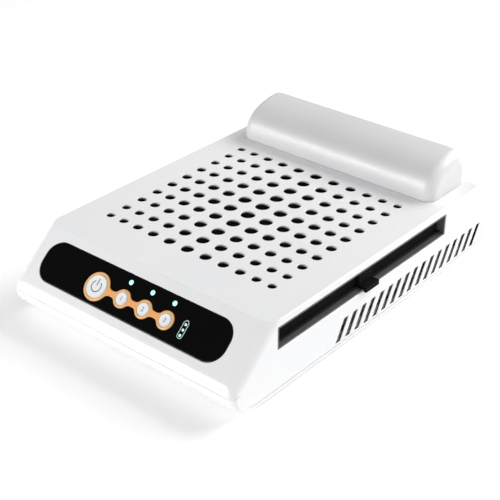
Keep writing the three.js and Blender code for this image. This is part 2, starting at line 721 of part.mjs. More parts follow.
// A frame that is open above and below, with a ledge for the filter, a low lip along its outer
// face and a hooked tab to pull it by.
function drawerFrame() {
  const { left, right, wall, ledge, floor } = DRAWER;
  const { front, rear, bottom, top } = DRAWER_BOX;
  const box = solid(block(left, right, front, rear, bottom, top));
  const pocket = solid(
    block(left + wall, right - wall, front + wall, rear - wall, bottom + floor, top + OVERCUT),
  );
  const airway = solid(
    block(left + ledge, right - ledge, front + ledge, rear - ledge, bottom - OVERCUT, top),
  );
  const lip = solid(block(right - OVERCUT, right + DRAWER_LIP, front, rear, bottom, bottom + 1.2));
  const tabFront = TAB.y - TAB.width / 2;
  const tabRear = TAB.y + TAB.width / 2;
  const tip = HALF_WIDTH + TAB.reach;
  const plate = solid(block(right - OVERCUT, tip, tabFront, tabRear, bottom, bottom + TAB.thickness));
  const hook = solid(
    block(HALF_WIDTH + 2 * GAP, tip, tabFront, tabRear, bottom - TAB.hook, bottom + TAB.thickness),
  );
  const web = solid(block(right - OVERCUT, right + 3, tabFront, tabRear, bottom, top - 2));
  return named("drawer_frame", cut(box, [pocket, airway]).add(join([lip, plate, hook, web])), BLACK_ABS);
}

// One folded sheet: its outline zigzags along X and is extruded along Y.
function filterPleats() {
  const x0 = DRAWER.left + DRAWER.wall + GAP;
  const x1 = DRAWER.right - DRAWER.wall - GAP;
  const y0 = DRAWER_BOX.front + DRAWER.wall + GAP;
  const y1 = DRAWER_BOX.rear - DRAWER.wall - GAP;
  const z0 = DRAWER_BOX.bottom + DRAWER.floor + GAP;
  const folds = 2 * MEDIA_PLEATS;
  const fold = (i, lift) => {
    const z = z0 + lift + (i % 2) * (MEDIA_HEIGHT - MEDIA_THICKNESS);
    return new THREE.Vector2(x0 + (i * (x1 - x0)) / folds, z);
  };
  const points = [];
  for (let i = 0; i <= folds; i += 1) {
    points.push(fold(i, 0));
  }
  for (let i = folds; i >= 0; i -= 1) {
    points.push(fold(i, MEDIA_THICKNESS));
  }
  const sheet = upright(new THREE.Shape(points), -y1, -y0).rotateX(Math.PI / 2);
  return named("filter_pleats", sheet, FILTER_PAPER);
}

const CLAMP_Z = DRAWER_BOX.bottom + DRAWER.floor + MEDIA_HEIGHT + 2 * GAP;

// A flat frame with crossbars that holds the pleats down.
function filterClamp() {
  const x0 = DRAWER.left + DRAWER.wall + GAP;
  const x1 = DRAWER.right - DRAWER.wall - GAP;
  const y0 = DRAWER_BOX.front + DRAWER.wall + GAP;
  const y1 = DRAWER_BOX.rear - DRAWER.wall - GAP;
  const border = 5;
  const bars = 4;
  const bar = 3;
  const pitchX = (x1 - x0 - border) / bars;
  const pitchY = (y1 - y0 - border) / bars;
  const windows = [];
  for (let i = 0; i < bars; i += 1) {
    for (let j = 0; j < bars; j += 1) {
      const left = x0 + border + i * pitchX;
      const front = y0 + border + j * pitchY;
      const right = left + pitchX - (i === bars - 1 ? border : bar);
      const rear = front + pitchY - (j === bars - 1 ? border : bar);
      windows.push(solid(block(left, right, front, rear, CLAMP_Z - OVERCUT, CLAMP_Z + 2 * OVERCUT)));
    }
  }
  const plate = solid(block(x0, x1, y0, y1, CLAMP_Z, CLAMP_Z + CLAMP_THICKNESS));
  return named("filter_clamp", cut(plate, windows), BLACK_ABS);
}

function prefilterMesh() {
  const inset = DRAWER.wall + GAP;
  const z = CLAMP_Z + CLAMP_THICKNESS + GAP;
  const sheet = block(
    DRAWER.left + inset, DRAWER.right - inset, DRAWER_BOX.front + inset, DRAWER_BOX.rear - inset,
    z, z + MESH_THICKNESS,
  );
  return named("prefilter_mesh", sheet, FILTER_MESH);
}

// ---------------------------------------------------------------- fan

// A blade seen from above: it leaves the eye and sweeps back as it nears the rim.
function bladeOutline() {
  const steps = 3;
  const innerRadius = FAN.eye - 6;
  const outer = [];
  const inner = [];
  for (let i = 0; i <= steps; i += 1) {
    const t = i / steps;
    const radius = innerRadius + t * (FAN.radius - 1 - innerRadius);
    const angle = BLADE_SWEEP * t * t;
    const half = BLADE_THICKNESS / 2 / radius;
    outer.push(new THREE.Vector2(radius * Math.cos(angle + half), radius * Math.sin(angle + half)));
    inner.unshift(new THREE.Vector2(radius * Math.cos(angle - half), radius * Math.sin(angle - half)));
  }
  return new THREE.Shape([...inner, ...outer]);
}

function impeller() {
  const plateTop = FAN.bottom + FAN_PLATE;
  const shroudBottom = FAN.top - FAN_PLATE;
  const hub = CUP.radius + GAP;
  const pieces = [
    solid(ring(hub, FAN.radius, FAN.bottom, plateTop, 24)),
    solid(ring(hub, hub + 2, FAN.bottom, FAN.top - 6, 16)),
    solid(ring(FAN.radius - SHROUD_WIDTH, FAN.radius, shroudBottom, FAN.top, 24)),
  ];
  for (let i = 0; i < FAN.blades; i += 1) {
    const blade = upright(bladeOutline(), plateTop - 0.5, shroudBottom + 0.5);
    pieces.push(solid(blade.rotateZ((i * 2 * Math.PI) / FAN.blades)));
  }
  return named("impeller", join(pieces), BLACK_ABS);
}

function rotorCup() {
  const { radius, wall, bottom, top } = CUP;
  const bore = SHAFT_RADIUS + GAP;
  const profile = [
    [bore, top - wall], [radius - wall, top - wall], [radius - wall, bottom], [radius, bottom],
    [radius, top - 1], [radius - 1, top], [bore, top], [bore, top - wall],
  ];
  return named("rotor_cup", turned(profile, 16), STEEL);
}

function magnetRing() {
  const outer = CUP.radius - CUP.wall - GAP;
  const band = ring(outer - MAGNET_THICKNESS, outer, CUP.bottom, CUP.top - CUP.wall - GAP, 16);
  return named("magnet_ring", band, MAGNET);
}

function motorShaft() {
  const bottom = MOTOR_BASE.bottom + 1;
  const profile = [[0, bottom], [SHAFT_RADIUS, bottom], [SHAFT_RADIUS, CUP.top], [0, CUP.top]];
  return named("motor_shaft", turned(profile, 10), STEEL);
}

const TUBE_RADIUS = BEARING.radius + GAP + 1;

function motorStator() {
  const core = ring(TUBE_RADIUS + GAP, STATOR.core, STATOR.bottom, STATOR.top, 12);
  const pieces = [solid(core)];
  for (let i = 0; i < STATOR.teeth; i += 1) {
    const turn = (i * 2 * Math.PI) / STATOR.teeth;
    const tooth = block(STATOR.core - 1, STATOR.radius - 1, -2, 2, STATOR.bottom, STATOR.top);
    const face = block(STATOR.radius - 1.5, STATOR.radius, -3.8, 3.8, STATOR.bottom, STATOR.top);
    pieces.push(solid(tooth.rotateZ(turn)), solid(face.rotateZ(turn)));
  }
  return named("motor_stator", join(pieces), COPPER);
}

function bearing(name, z) {
  const body = ring(BEARING.bore, BEARING.radius, 0, BEARING.height, 12);
  const mesh = named(name, body, STEEL);
  mesh.position.z = z;
  return mesh;
}

function motorBase() {
  const { radius, bottom, thickness, tubeTop } = MOTOR_BASE;
  const plate = solid(disc(radius, bottom, bottom + thickness, 16));
  const tube = solid(disc(TUBE_RADIUS, bottom, tubeTop, 12));
  const bore = solid(disc(BEARING.radius + GAP, bottom + OVERCUT, tubeTop + OVERCUT, 12));
  const holes = motorScrewPlaces().map(({ x, y }) => {
    const hole = disc(SCREW.shank + GAP, bottom - OVERCUT, bottom + thickness + OVERCUT, 8);
    return solid(hole.translate(x - FAN.x, y - FAN.y, 0));
  });
  return named("motor_base", cut(plate.add(tube), [bore, ...holes]), STEEL);
}

function fan() {
  const group = new THREE.Group();
  group.position.set(FAN.x, FAN.y, 0);
  const lower = MOTOR_BASE.bottom + OVERCUT + GAP;
  const upper = MOTOR_BASE.tubeTop - BEARING.height - GAP;
  group.add(impeller(), rotorCup(), magnetRing(), motorShaft());
  group.add(motorStator(), bearing("bearing_lower", lower), bearing("bearing_upper", upper));
  group.add(motorBase());
  return group;
}

// ---------------------------------------------------------------- battery, charging and leads

function batteryTray() {
  const { length, width, height, wall } = TRAY;
  const x0 = TRAY.x - length / 2;
  const x1 = TRAY.x + length / 2;
  const y0 = TRAY.y - width / 2;
  const y1 = TRAY.y + width / 2;
  const z0 = FLOOR_TOP_Z + GAP;
  const box = solid(block(x0, x1, y0, y1, z0, z0 + height));
  const room = solid(
    block(x0 + wall, x1 - wall, y0 + wall / 2, y1 - wall / 2, z0 + wall, z0 + height + OVERCUT),
  );
  return named("battery_tray", cut(box, [room]), BLACK_ABS);
}

function batteryCells() {
  const cells = [];
  for (let i = 0; i < CELL.count; i += 1) {
    const { radius, length } = CELL;
    const end = length / 2;
    const profile = [
      [0, -end], [radius, -end], [radius, end - 1.5], [3, end - 1.5], [3, end], [0, end],
    ];
    const body = turned(profile, 14).rotateY(Math.PI / 2);
    const cell = named(`battery_cell_${i + 1}`, body, CELL_BLUE);
    const y = TRAY.y + (i - (CELL.count - 1) / 2) * CELL.pitch;
    cell.position.set(TRAY.x, y, FLOOR_TOP_Z + GAP + TRAY.wall + GAP + radius);
    cells.push(cell);
  }
  return cells;
}

function chargeSocket() {
  const { flange, barrel, bore, pin, depth } = SOCKET;
  const profile = [
    [0, -depth - 2], [barrel, -depth - 2], [barrel, GAP], [flange, GAP], [flange, 1.2],
    [bore, 1.2], [bore, -depth], [pin, -depth], [pin, -1], [0, -0.5],
  ];
  const socket = named("charge_socket", turned(profile, 12), BLACK_ABS);
  socket.position.set(-SOCKET.x, SOCKET.height, 0);
  return socket;
}

function chargeBoard() {
  const { width, height, back, thickness } = CHARGE_BOARD;
  const plate = block(-width / 2, width / 2, -height / 2, height / 2, back, back + thickness);
  const board = named("charge_board", plate, CIRCUIT_GREEN);
  board.position.set(-SOCKET.x, SOCKET.height, 0);
  return board;
}

function backWallParts() {
  const group = new THREE.Group();
  BACK_FRAME.decompose(group.position, group.quaternion, group.scale);
  group.add(chargeSocket(), chargeBoard());
  return group;
}

// A point behind the control board, given across the panel and up its slope.
function behindBoard(x, y, gap) {
  return new THREE.Vector3(x, y, BOARD.topZ - BOARD.thickness - gap).applyMatrix4(PANEL_FRAME);
}

function lead(name, route, steps) {
  const points = route.map((p) => (p.isVector3 ? p : new THREE.Vector3(...p)));
  const section = new THREE.Shape();
  section.absarc(0, 0, LEAD_RADIUS, 0, 2 * Math.PI);
  const path = new THREE.CatmullRomCurve3(points);
  const options = { steps, extrudePath: path, curveSegments: 4 };
  return named(name, new THREE.ExtrudeGeometry(section, options), LEAD_BLACK);
}

function leads() {
  const low = FLOOR_TOP_Z + LEAD_RADIUS + 3 * GAP;
  const baseFront = FAN.y - MOTOR_BASE.radius - GAP;
  const trayRight = TRAY.x + TRAY.length / 2 + GAP;
  const boardMotor = [behindBoard(40, 14, 5), behindBoard(40, 14, GAP)];
  const boardBattery = [behindBoard(14, 14, 5), behindBoard(14, 14, GAP)];
  const boardCharge = [behindBoard(54, 14, 5), behindBoard(54, 14, GAP)];
  const chargeEnd = new THREE.Vector3(-SOCKET.x, SOCKET.height - 5, CHARGE_BOARD.back - GAP);
  const chargeOut = new THREE.Vector3(-SOCKET.x, SOCKET.height - 5, CHARGE_BOARD.back - 6);
  chargeEnd.applyMatrix4(BACK_FRAME);
  chargeOut.applyMatrix4(BACK_FRAME);
  return [
    lead("motor_lead", [
      [0, baseFront, low + 1], [0, baseFront - 10, low], [10, -55, low], [30, -88, low],
      [40, -108, low + 6], ...boardMotor,
    ], 20),
    lead("battery_lead", [
      [trayRight, TRAY.y, low + 4], [trayRight + 8, TRAY.y, low + 4], [8, -108, low + 9],
      ...boardBattery,
    ], 12),
    lead("charge_lead", [
      chargeEnd, chargeOut, [72, 98, low + 4], [90, 78, low], [91, 0, low], [88, -76, low],
      [66, -104, low + 6], ...boardCharge,
    ], 30),
  ];
}

// ---------------------------------------------------------------- hand rest

// The pad from the side: an upright front that swells into a rounded top, ending in a ridge
// above its upright back.
function restOutline() {
  const bottom = DECK_Z + GAP;
  const shape = new THREE.Shape();
  shape.moveTo(REST.front + 1, bottom);
  shape.lineTo(REST.rear - 0.5, bottom);
  shape.bezierCurveTo(REST.rear + 0.2, bottom + 14, REST.rear, REST.top - 3, REST.ridgeY, REST.top);
  shape.bezierCurveTo(
    REST.front + 22, REST.top - 1, REST.front - 1.5, bottom + 22, REST.front + 1, bottom,
  );
  return shape;
}

function handRestPad() {
  const { halfWidth, front, rear, corner } = REST;
  const plan = roundedRectangle(0, (front + rear) / 2, 2 * halfWidth, rear - front, corner);
  const loaf = solid(across(restOutline(), -halfWidth, halfWidth, 7));
  const column = solid(upright(plan, DECK_Z, REST.top + OVERCUT, 2));
  const pocket = solid(restBlock(REST_BASE.inset - GAP, DECK_Z, DECK_Z + REST_BASE.thickness + 2 * GAP));
  return named("hand_rest_pad", cut(loaf.intersect(column), [pocket]), GREY_PAD);
}

function restBlock(inset, z0, z1) {
  const half = REST.halfWidth - inset;
  return block(-half, half, REST.front + inset, REST.rear - inset, z0, z1);
}

function handRestBase() {
  const z0 = DECK_Z + GAP;
  const plate = solid(restBlock(REST_BASE.inset, z0, z0 + REST_BASE.thickness));
  const y = (REST.front + REST.rear) / 2;
  const holes = [-REST_SCREW_X, REST_SCREW_X].map((x) => {
    return solid(disc(SCREW.shank + GAP, DECK_Z, z0 + REST_BASE.thickness - 0.5, 8).translate(x, y, 0));
  });
  return named("hand_rest_base", cut(plate, holes), BLACK_ABS);
}

// ---------------------------------------------------------------- assembly

const collector = new THREE.Group();
collector.add(topShell(), bottomShell(), ...feet(), ...caseScrews());
collector.add(controlPanel());
collector.add(filterBay(), inletGrille());
collector.add(drawerFrame(), filterPleats(), filterClamp(), prefilterMesh());
collector.add(fan(), ...motorScrews());
collector.add(batteryTray(), ...batteryCells(), backWallParts(), ...leads());
collector.add(handRestPad(), handRestBase(), ...restScrews());

export default collector;
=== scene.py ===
# The looks of a rechargeable nail dust collector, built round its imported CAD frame.
#
# Shapes are worked out in millimetres and become metres when their mesh is made. The frame is the
# CAD one: the filter slot is on the +X side, Y runs from the control panel to the hand rest, +Z is up.

import math

import bmesh
import bpy
from mathutils import Matrix, Vector


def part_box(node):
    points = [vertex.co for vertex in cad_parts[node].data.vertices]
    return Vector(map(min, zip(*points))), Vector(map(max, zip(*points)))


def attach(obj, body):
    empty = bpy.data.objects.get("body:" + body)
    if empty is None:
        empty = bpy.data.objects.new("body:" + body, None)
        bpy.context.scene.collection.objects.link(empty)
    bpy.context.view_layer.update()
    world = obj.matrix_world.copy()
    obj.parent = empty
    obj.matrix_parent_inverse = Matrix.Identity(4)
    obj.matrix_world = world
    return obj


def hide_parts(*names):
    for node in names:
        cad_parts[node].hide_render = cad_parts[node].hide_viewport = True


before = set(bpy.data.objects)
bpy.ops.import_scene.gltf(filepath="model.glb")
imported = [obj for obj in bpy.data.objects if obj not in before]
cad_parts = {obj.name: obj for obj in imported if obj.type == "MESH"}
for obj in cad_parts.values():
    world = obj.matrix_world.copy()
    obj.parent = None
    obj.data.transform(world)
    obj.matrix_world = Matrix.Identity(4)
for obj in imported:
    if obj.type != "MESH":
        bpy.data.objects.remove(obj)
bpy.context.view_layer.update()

MM = 0.001
TURN = 2 * math.pi
HALF_TURN = math.pi
QUARTER = math.pi / 2


def cad_box(node):
    """Lowest and highest corner of a CAD node, in millimetres."""
    lo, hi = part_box(node)
    return lo / MM, hi / MM


def cad_round(node):
    """Radius, lowest and highest z of a CAD node that is round about a vertical axis."""
    lo, hi = cad_box(node)
    return (hi.x - lo.x) / 2, lo.z, hi.z


TOP_HI = cad_box("top_shell")[1]
BOTTOM_LO = cad_box("bottom_shell")[0]
REST_LO, REST_HI = cad_box("hand_rest_pad")
DRAWER_LO, DRAWER_HI = cad_box("drawer_frame")
MESH_LO, MESH_HI = cad_box("prefilter_mesh")
PLEAT_LO, PLEAT_HI = cad_box("filter_pleats")
FOOT_HI = cad_box("foot_1")[1]

# ---------------- the case's dimensions

HALF_WIDTH = TOP_HI.x
HALF_DEPTH = 147
DECK_Z = TOP_HI.z
FLOOR_Z = BOTTOM_LO.z
WALL = 2.5
GAP = 0.3
OVERCUT = 1
DECK_FRONT_Y = -111.3
DECK_REAR_Y = 131
SEAM_Z = 19.5
NOSE_RADIUS = 11
NOSE_STOP = 0.6
KEEL_LENGTH = 21
KEEL_HEIGHT = SEAM_Z - FLOOR_Z
NOSE_Y = HALF_DEPTH - NOSE_RADIUS
KEEL_Y = HALF_DEPTH - KEEL_LENGTH

# Radii of the edges that run round both sides of the case.
PANEL_EDGE = 8
NOSE_EDGE = 5
DECK_EDGE = 1.1
BACK_EDGE = 2.2
KEEL_EDGE = 0.9
CREASE_EDGE = 0.5
LIP_EDGE = 0.25

HOLE_CENTRE = (-1.2, -5.3)
HOLE_COLUMNS = 11
HOLE_ROWS = 10
HOLE_PITCH = (16.73, 16.04)
HOLE_TIGHTENING = (0.43, 0.08)
HOLE_DIAMETER = 10.8
HOLE_SHRINK = (2.8, 1.6)
HOLE_RIM = 0.45
HOLE_SKIN = 0.5
HOLE_WALL = 2
HOLE_MARGIN = 8

VENT_FIRST_Y = -43.8
VENT_PITCH = 10.45
VENT_COUNT = 17
VENT_WIDTH = 5.2
VENT_LEAN = 8.8
VENT_Z = (6.9, 22.9)
VENT_WALL = 1.2
VENT_MARGIN = 1.2
VENT_CHAMFER = 0.2
VENT_SKIN = 0.45
COAT_STEP = 0.04
# Which way the painted shade in the suction holes leans: walls that face this way stay black higher up.
HOLE_SHADE = Vector((1, 1, 0)).normalized() * 0.35

SLOT_Y = (-104.6, 86)
SLOT_Z = (34.3, 51)
SLOT_CHAMFER = 0.35

POST_X = 88
POST_Y = (-116, 118)
POST_TOP_Z = (47.5, 55)
POST_RADIUS = 3.5
POST_BOTTOM_Z = 8.3
SCREW_HOLE = 1.55
SCREW_HEAD = 1.7
REST_SCREW_X = 55
REST_CORNER = 8.5
REST_SHOULDER = 9

# ---------------- the control panel's dimensions

WINDOW_CENTRE = (-3, 20.1)
WINDOW_SIZE = (166, 30.2)
WINDOW_RADIUS = 12.5
WINDOW_THICKNESS = 1.2
WINDOW_LEDGE = 3
KEY_Y = 17.5
POWER_X = -32.7
SPEED_X = (-9.4, 10, 29.4)
POWER_CAP = 8.2
SPEED_CAP = 4.6
POWER_RIM = 10.25
SPEED_RIM = 6.55
TRIM_NECK = 2.1
TRIM_FILLET = 4.2
TRIM_PROUD = 0.4
CAP_PROUD = 0.9
LED_Y = 29.8
LED_RADIUS = 1.75
GAUGE_X = 44.9
GAUGE_Y = (13.1, 16.9, 20.7)
GAUGE_RADIUS = 0.9
BEAD_SHARE = 0.62
BEAD_HEIGHT = 0.085

# ---------------- feet, fasteners, fan and socket

FAN = (0, 12)
FOOT_X = 76
FOOT_Y = 112
FOOT_RADIUS = 7
WELL_RADIUS = 4.5
WELL_TOP_Z = 8
MOTOR_BASE_Z = 7.3
MOTOR_SCREW_Z = 9.6
MOTOR_SCREW_RADIUS = 21
CASE_SCREW_Z = FLOOR_Z + 2.3
COUNTERBORE = (
    (0, 0),
    (3.6, 0),
    (3.2, FLOOR_Z + 0.35),
    (3.2, FLOOR_Z + 2.6),
    (1.55, FLOOR_Z + 2.6),
    (1.55, 9),
    (0, 9),
)
DRAWER_FACE_X = 94
DRAWER_BOTTOM_Z = 35.9
TAB_Y = (-15.5, -0.5)
PLEATS = 24
PLEAT_SHARPNESS = 0.97
PLEAT_SWAY = 0.12
PAPER = 0.5
MESH_STEPS = 150
MESH_BORDER = 3.2
BLADES = 9
BLADE_ROOT = 38
BLADE_SWEEP = 0.95
IMPELLER_HUB = 20.3
SHROUD_WIDTH = 14
SHAFT_LIFT = 0.1
GRILLE_RIM = 4
GRILLE_HUB = 9
STATOR_BORE = 5.6
STATOR_FACE = 15.3
SOCKET_X = 60
SOCKET_HEIGHT = 15
SOCKET_BARREL = 4.2

# ---------------- mesh tools


def finished(name, bm, material=None, angle=35):
    """A mesh object from a bmesh in millimetres, smooth but for edges sharper than the angle."""
    bmesh.ops.recalc_face_normals(bm, faces=bm.faces)
    bmesh.ops.scale(bm, vec=(MM, MM, MM), verts=bm.verts)
    mesh = bpy.data.meshes.new(name)
    bm.to_mesh(mesh)
    bm.free()
    obj = bpy.data.objects.new(name, mesh)
    bpy.context.scene.collection.objects.link(obj)
    if material:
        mesh.materials.append(material)
    smooth(mesh, angle)
    return obj


def smooth(mesh, angle=35):
    mesh.polygons.foreach_set("use_smooth", [True] * len(mesh.polygons))
    mesh.set_sharp_from_angle(angle=math.radians(angle))


def loft(loops, ring=False):
    """A closed skin through loops of equal length, capped at its ends unless it is a ring."""
    bm = bmesh.new()
    rows = [[bm.verts.new(p) for p in loop] for loop in loops]
    pairs = list(zip(rows, rows[1:]))
    if ring:
        pairs.append((rows[-1], rows[0]))
    for low, high in pairs:
        for i in range(len(low)):
            j = (i + 1) % len(low)
            bm.faces.new((low[i], low[j], high[j], high[i]))
    if not ring:
        bm.faces.new(rows[0])
        bm.faces.new(rows[-1])
    return bm


def across(outline_at, half_width, edge_radii, steps=7):
    """A loft across the case: outline_at(d) is the side outline at distance d from either side."""
    depths = {0.0}
    for radius in edge_radii:
        for i in range(1, steps + 1):
            depths.add(round(radius * (1 - math.cos(QUARTER * i / steps)), 4))
    stations = sorted((-half_width + d, d) for d in depths)
    stations += sorted((half_width - d, d) for d in depths)
    return loft([[(x, y, z) for y, z in outline_at(d)] for x, d in stations])


def turned(profile, segments=48):
    """A solid of revolution about Z, from (radius, z) pairs that start and end on the axis."""
    bm = bmesh.new()
    rings = []
    for radius, z in profile:
        count = segments if radius > 1e-6 else 1
        rings.append([bm.verts.new((x, y, z)) for x, y in circle(0, 0, radius, count)])
    for low, high in zip(rings, rings[1:]):
        for i in range(segments):
            j = (i + 1) % segments
            around = (low[i % len(low)], low[j % len(low)], high[j % len(high)], high[i % len(high)])
            corners = list(dict.fromkeys(around))
            if len(corners) > 2:
                bm.faces.new(corners)
    return bm


def turned_ring(profile, segments=64):
    """A solid of revolution about Z, from (radius, z) pairs that go round a closed profile."""
    turns = circle(0, 0, 1, segments)
    return loft([[(r * x, r * y, z) for r, z in profile] for x, y in turns], ring=True)


def offset(outline, distance):
    """A counter-clockwise outline moved outwards by a distance."""
    moved = []
    count = len(outline)
    for i in range(count):
        here = Vector(outline[i])
        a = (here - Vector(outline[i - 1])).normalized()
        b = (Vector(outline[(i + 1) % count]) - here).normalized()
        normal = Vector((a.y + b.y, -a.x - b.x)).normalized()
        reach = distance / max(0.5, normal.dot(Vector((a.y, -a.x))))
        moved.append(tuple(here + normal * reach))
    return moved


def plate(outline, z0, z1, edge=0.0, steps=4):
    """A counter-clockwise plan outline made into a plate whose upper edge is rounded."""
    loops = [[(x, y, z0) for x, y in outline], [(x, y, z1 - edge) for x, y in outline]]
    for i in range(1, steps + 1 if edge else 1):
        turn = QUARTER * i / steps
        z = z1 - edge + edge * math.sin(turn)
        inner = offset(outline, -edge * (1 - math.cos(turn)))
        loops.append([(x, y, z) for x, y in inner])
    return loft(loops)


def arc(cx, cy, radius, start, end, steps):
    """Points along an arc, with both its ends."""
    turns = [start + (end - start) * i / steps for i in range(steps + 1)]
    return [(cx + radius * math.cos(a), cy + radius * math.sin(a)) for a in turns]


def circle(cx, cy, radius, steps=48):
    return arc(cx, cy, radius, 0, TURN, steps)[:-1]


def rounded_rectangle(cx, cy, width, height, radius, steps=14):
    points = []
    for quarter, (sx, sy) in enumerate([(1, -1), (1, 1), (-1, 1), (-1, -1)]):
        start = QUARTER * (quarter - 1)
        x = cx + sx * (width / 2 - radius)
        y = cy + sy * (height / 2 - radius)
        points += arc(x, y, radius, start, start + QUARTER, steps)
    return points


def block(x0, x1, y0, y1, z0, z1, edge=0.0, segments=2):
    """A box, with rounded edges if edge is given."""
    bm = bmesh.new()
    bmesh.ops.create_cube(bm, size=1)
    bmesh.ops.scale(bm, vec=(x1 - x0, y1 - y0, z1 - z0), verts=bm.verts)
    bmesh.ops.translate(bm, vec=((x0 + x1) / 2, (y0 + y1) / 2, (z0 + z1) / 2), verts=bm.verts)
    if edge:
        bmesh.ops.bevel(bm, geom=bm.edges[:], offset=edge, segments=segments, affect="EDGES", profile=0.5)
    return bm


def moved(bm, matrix):
    bmesh.ops.transform(bm, matrix=matrix, verts=bm.verts)
    return bm


def shift(x, y, z=0):
    return Matrix.Translation((x, y, z))


def together(parts):
    """One bmesh that holds several."""
    whole = bmesh.new()
    for bm in parts:
        mesh = bpy.data.meshes.new("part")
        bm.to_mesh(mesh)
        bm.free()
        whole.from_mesh(mesh)
        bpy.data.meshes.remove(mesh)
    return whole


def carve(obj, bm, operation="DIFFERENCE", material=None):
    """Cuts a bmesh in millimetres out of obj, or joins it on. The new faces may take a material."""
    materials = list(obj.data.materials)
    material = material or materials[0]
    if material not in materials:
        materials.append(material)
    tool = finished("tool", bm, material)
    modifier = obj.modifiers.new("carve", "BOOLEAN")
    modifier.operation = operation
    modifier.solver = "MANIFOLD"
    modifier.material_mode = "TRANSFER"
    modifier.object = tool
    bpy.context.view_layer.update()
    evaluated = obj.evaluated_get(bpy.context.evaluated_depsgraph_get())
    mesh = bpy.data.meshes.new_from_object(evaluated)
    obj.modifiers.clear()
    obj.data = mesh
    bpy.data.objects.remove(tool)
    smooth(mesh)


def move_mesh(obj, matrix):
    """Moves a finished object's mesh by a matrix in millimetres."""
    obj.data.transform(Matrix.Scale(MM, 4) @ matrix @ Matrix.Scale(1 / MM, 4))


def even_normals(obj):
    """Lets large flat faces keep their own normals beside small rounded edges."""
    modifier = obj.modifiers.new("normals", "WEIGHTED_NORMAL")
    modifier.keep_sharp = True
    modifier.weight = 90
    return obj


def fit(obj, body, slot, *nodes):
    """obj rides on a body and stands for these CAD nodes. The slot argument is not used."""
    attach(obj, body)
    if nodes:
        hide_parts(*nodes)
    return obj


# ---------------- materials


def feed(socket, value):
    """Links a socket to another node's output, or sets it to a value."""
    if isinstance(value, bpy.types.NodeSocket):
        socket.id_data.links.new(value, socket)
    else:
        socket.default_value = value


def shader_node(tree, kind, output, *values, **named):
    """A new node's output. Values feed its first sockets, names with a capital feed the socket of
    that name, and other names set a property of the node."""
    node = tree.nodes.new("ShaderNode" + kind)
    for name in filter(str.islower, named):
        setattr(node, name, named[name])
    for socket, value in zip(node.inputs, values):
        feed(socket, value)
    for name in (name for name in named if name[0].isupper()):
        feed(node.inputs[name.replace("_", " ")], named[name])
    return node.outputs[output]


class Surface:
    """A procedural material: one Principled shader and the textures that vary it."""

    def __init__(self, name, color, roughness, **sockets):
        self.material = bpy.data.materials.new(name)
        self.material.use_nodes = True
        self.tree = self.material.node_tree
        self.color = (*color, 1)
        self.set(Base_Color=self.color, Roughness=roughness, **sockets)
        self.place = self.node("TexCoord", "Object")
        self.normal = None

    def set(self, **sockets):
        """Feeds sockets of the shader."""
        for name, value in sockets.items():
            feed(self.tree.nodes["Principled BSDF"].inputs[name.replace("_", " ")], value)
        return self

    def node(self, kind, output, *values, **named):
        return shader_node(self.tree, kind, output, *values, **named)

    def stretched(self, x, y, z):
        """Object coordinates stretched along each axis."""
        return self.node("Mapping", "Vector", self.place, Scale=(x, y, z))

    def noise(self, scale, detail=3.0, roughness=0.5, place=None):
        """Smooth noise with that many features a metre, from 0 to 1."""
        place = place or self.place
        return self.node("TexNoise", "Fac", place, Scale=scale, Detail=detail, Roughness=roughness)

    def cell_edges(self, scale):
        """How far the edge of a Voronoi cell is, with that many cells a metre."""
        return self.node("TexVoronoi", "Distance", self.place, Scale=scale, feature="DISTANCE_TO_EDGE")

    def bands(self, scale, axis):
        """Parallel waves along an axis, as wound wire or straight tracks make."""
        return self.node("TexWave", "Fac", self.place, Scale=scale, bands_direction=axis)

    def fitted(self, value, low, high, start=0.3, end=0.7):
        """A texture's range from start to end, fitted to low..high."""
        return self.node("MapRange", "Result", value, From_Min=start, From_Max=end, To_Min=low, To_Max=high)

    def tint(self, value, other, start=0.35, end=0.65):
        """The colour goes from its own to another as a texture goes from start to end."""
        ramp = self.tree.nodes.new("ShaderNodeValToRGB")
        first, last = ramp.color_ramp.elements
        first.position, first.color = start, self.color
        last.position, last.color = end, (*other, 1)
        feed(ramp.inputs["Fac"], value)
        return self.set(Base_Color=ramp.outputs["Color"])

    def polish(self, value, low, high):
        """Roughness goes from low to high with a texture."""
        return self.set(Roughness=self.fitted(value, low, high))

    def bump(self, value, height, strength=1.0):
        """Raises the surface by height, in millimetres, where a texture is 1."""
        sockets = {"Height": value, "Distance": height * MM, "Strength": strength}
        if self.normal:
            sockets["Normal"] = self.normal
        self.normal = self.node("Bump", "Normal", **sockets)
        return self.set(Normal=self.normal)


def gloss_white():
    """Glossy white ABS with the faint orange peel of a polished mould."""
    s = Surface("gloss_white_abs", (0.87, 0.87, 0.875), 0.24, Specular_IOR_Level=0.5)
    s.tint(s.noise(14, 2), (0.845, 0.85, 0.86))
    s.polish(s.noise(60, 4), 0.2, 0.28)
    return s.bump(s.noise(260, 2), 0.0025).material


def window_acrylic():
    """Black acrylic, printed behind, with faint wiping marks."""
    s = Surface("black_acrylic", (0.0025, 0.0025, 0.0027), 0.05, Specular_IOR_Level=0.4)
    s.polish(s.noise(38, 5, 0.65, s.stretched(1, 3, 1)), 0.03, 0.12)
    return s.bump(s.noise(45, 1), 0.01).material


def trim_orange():
    """Satin orange moulding."""
    s = Surface("satin_orange", (0.93, 0.41, 0.135), 0.34)
    s.tint(s.noise(260, 3), (0.9, 0.44, 0.16))
    s.polish(s.noise(900, 2), 0.28, 0.42)
    return s.bump(s.noise(2200, 2), 0.01).material


def trim_pale():
    """The paler, painted edge of the trim's rims."""
    s = Surface("pale_gold_paint", (0.87, 0.6, 0.27), 0.3, Metallic=0.15)
    s.tint(s.noise(300, 3), (0.84, 0.55, 0.23))
    return s.bump(s.noise(1800, 2), 0.008).material


def key_white():
    """Satin white key plastic."""
    s = Surface("key_white", (0.88, 0.88, 0.895), 0.36)
    s.tint(s.noise(180, 3), (0.85, 0.855, 0.87))
    return s.bump(s.noise(2400, 2), 0.008).material


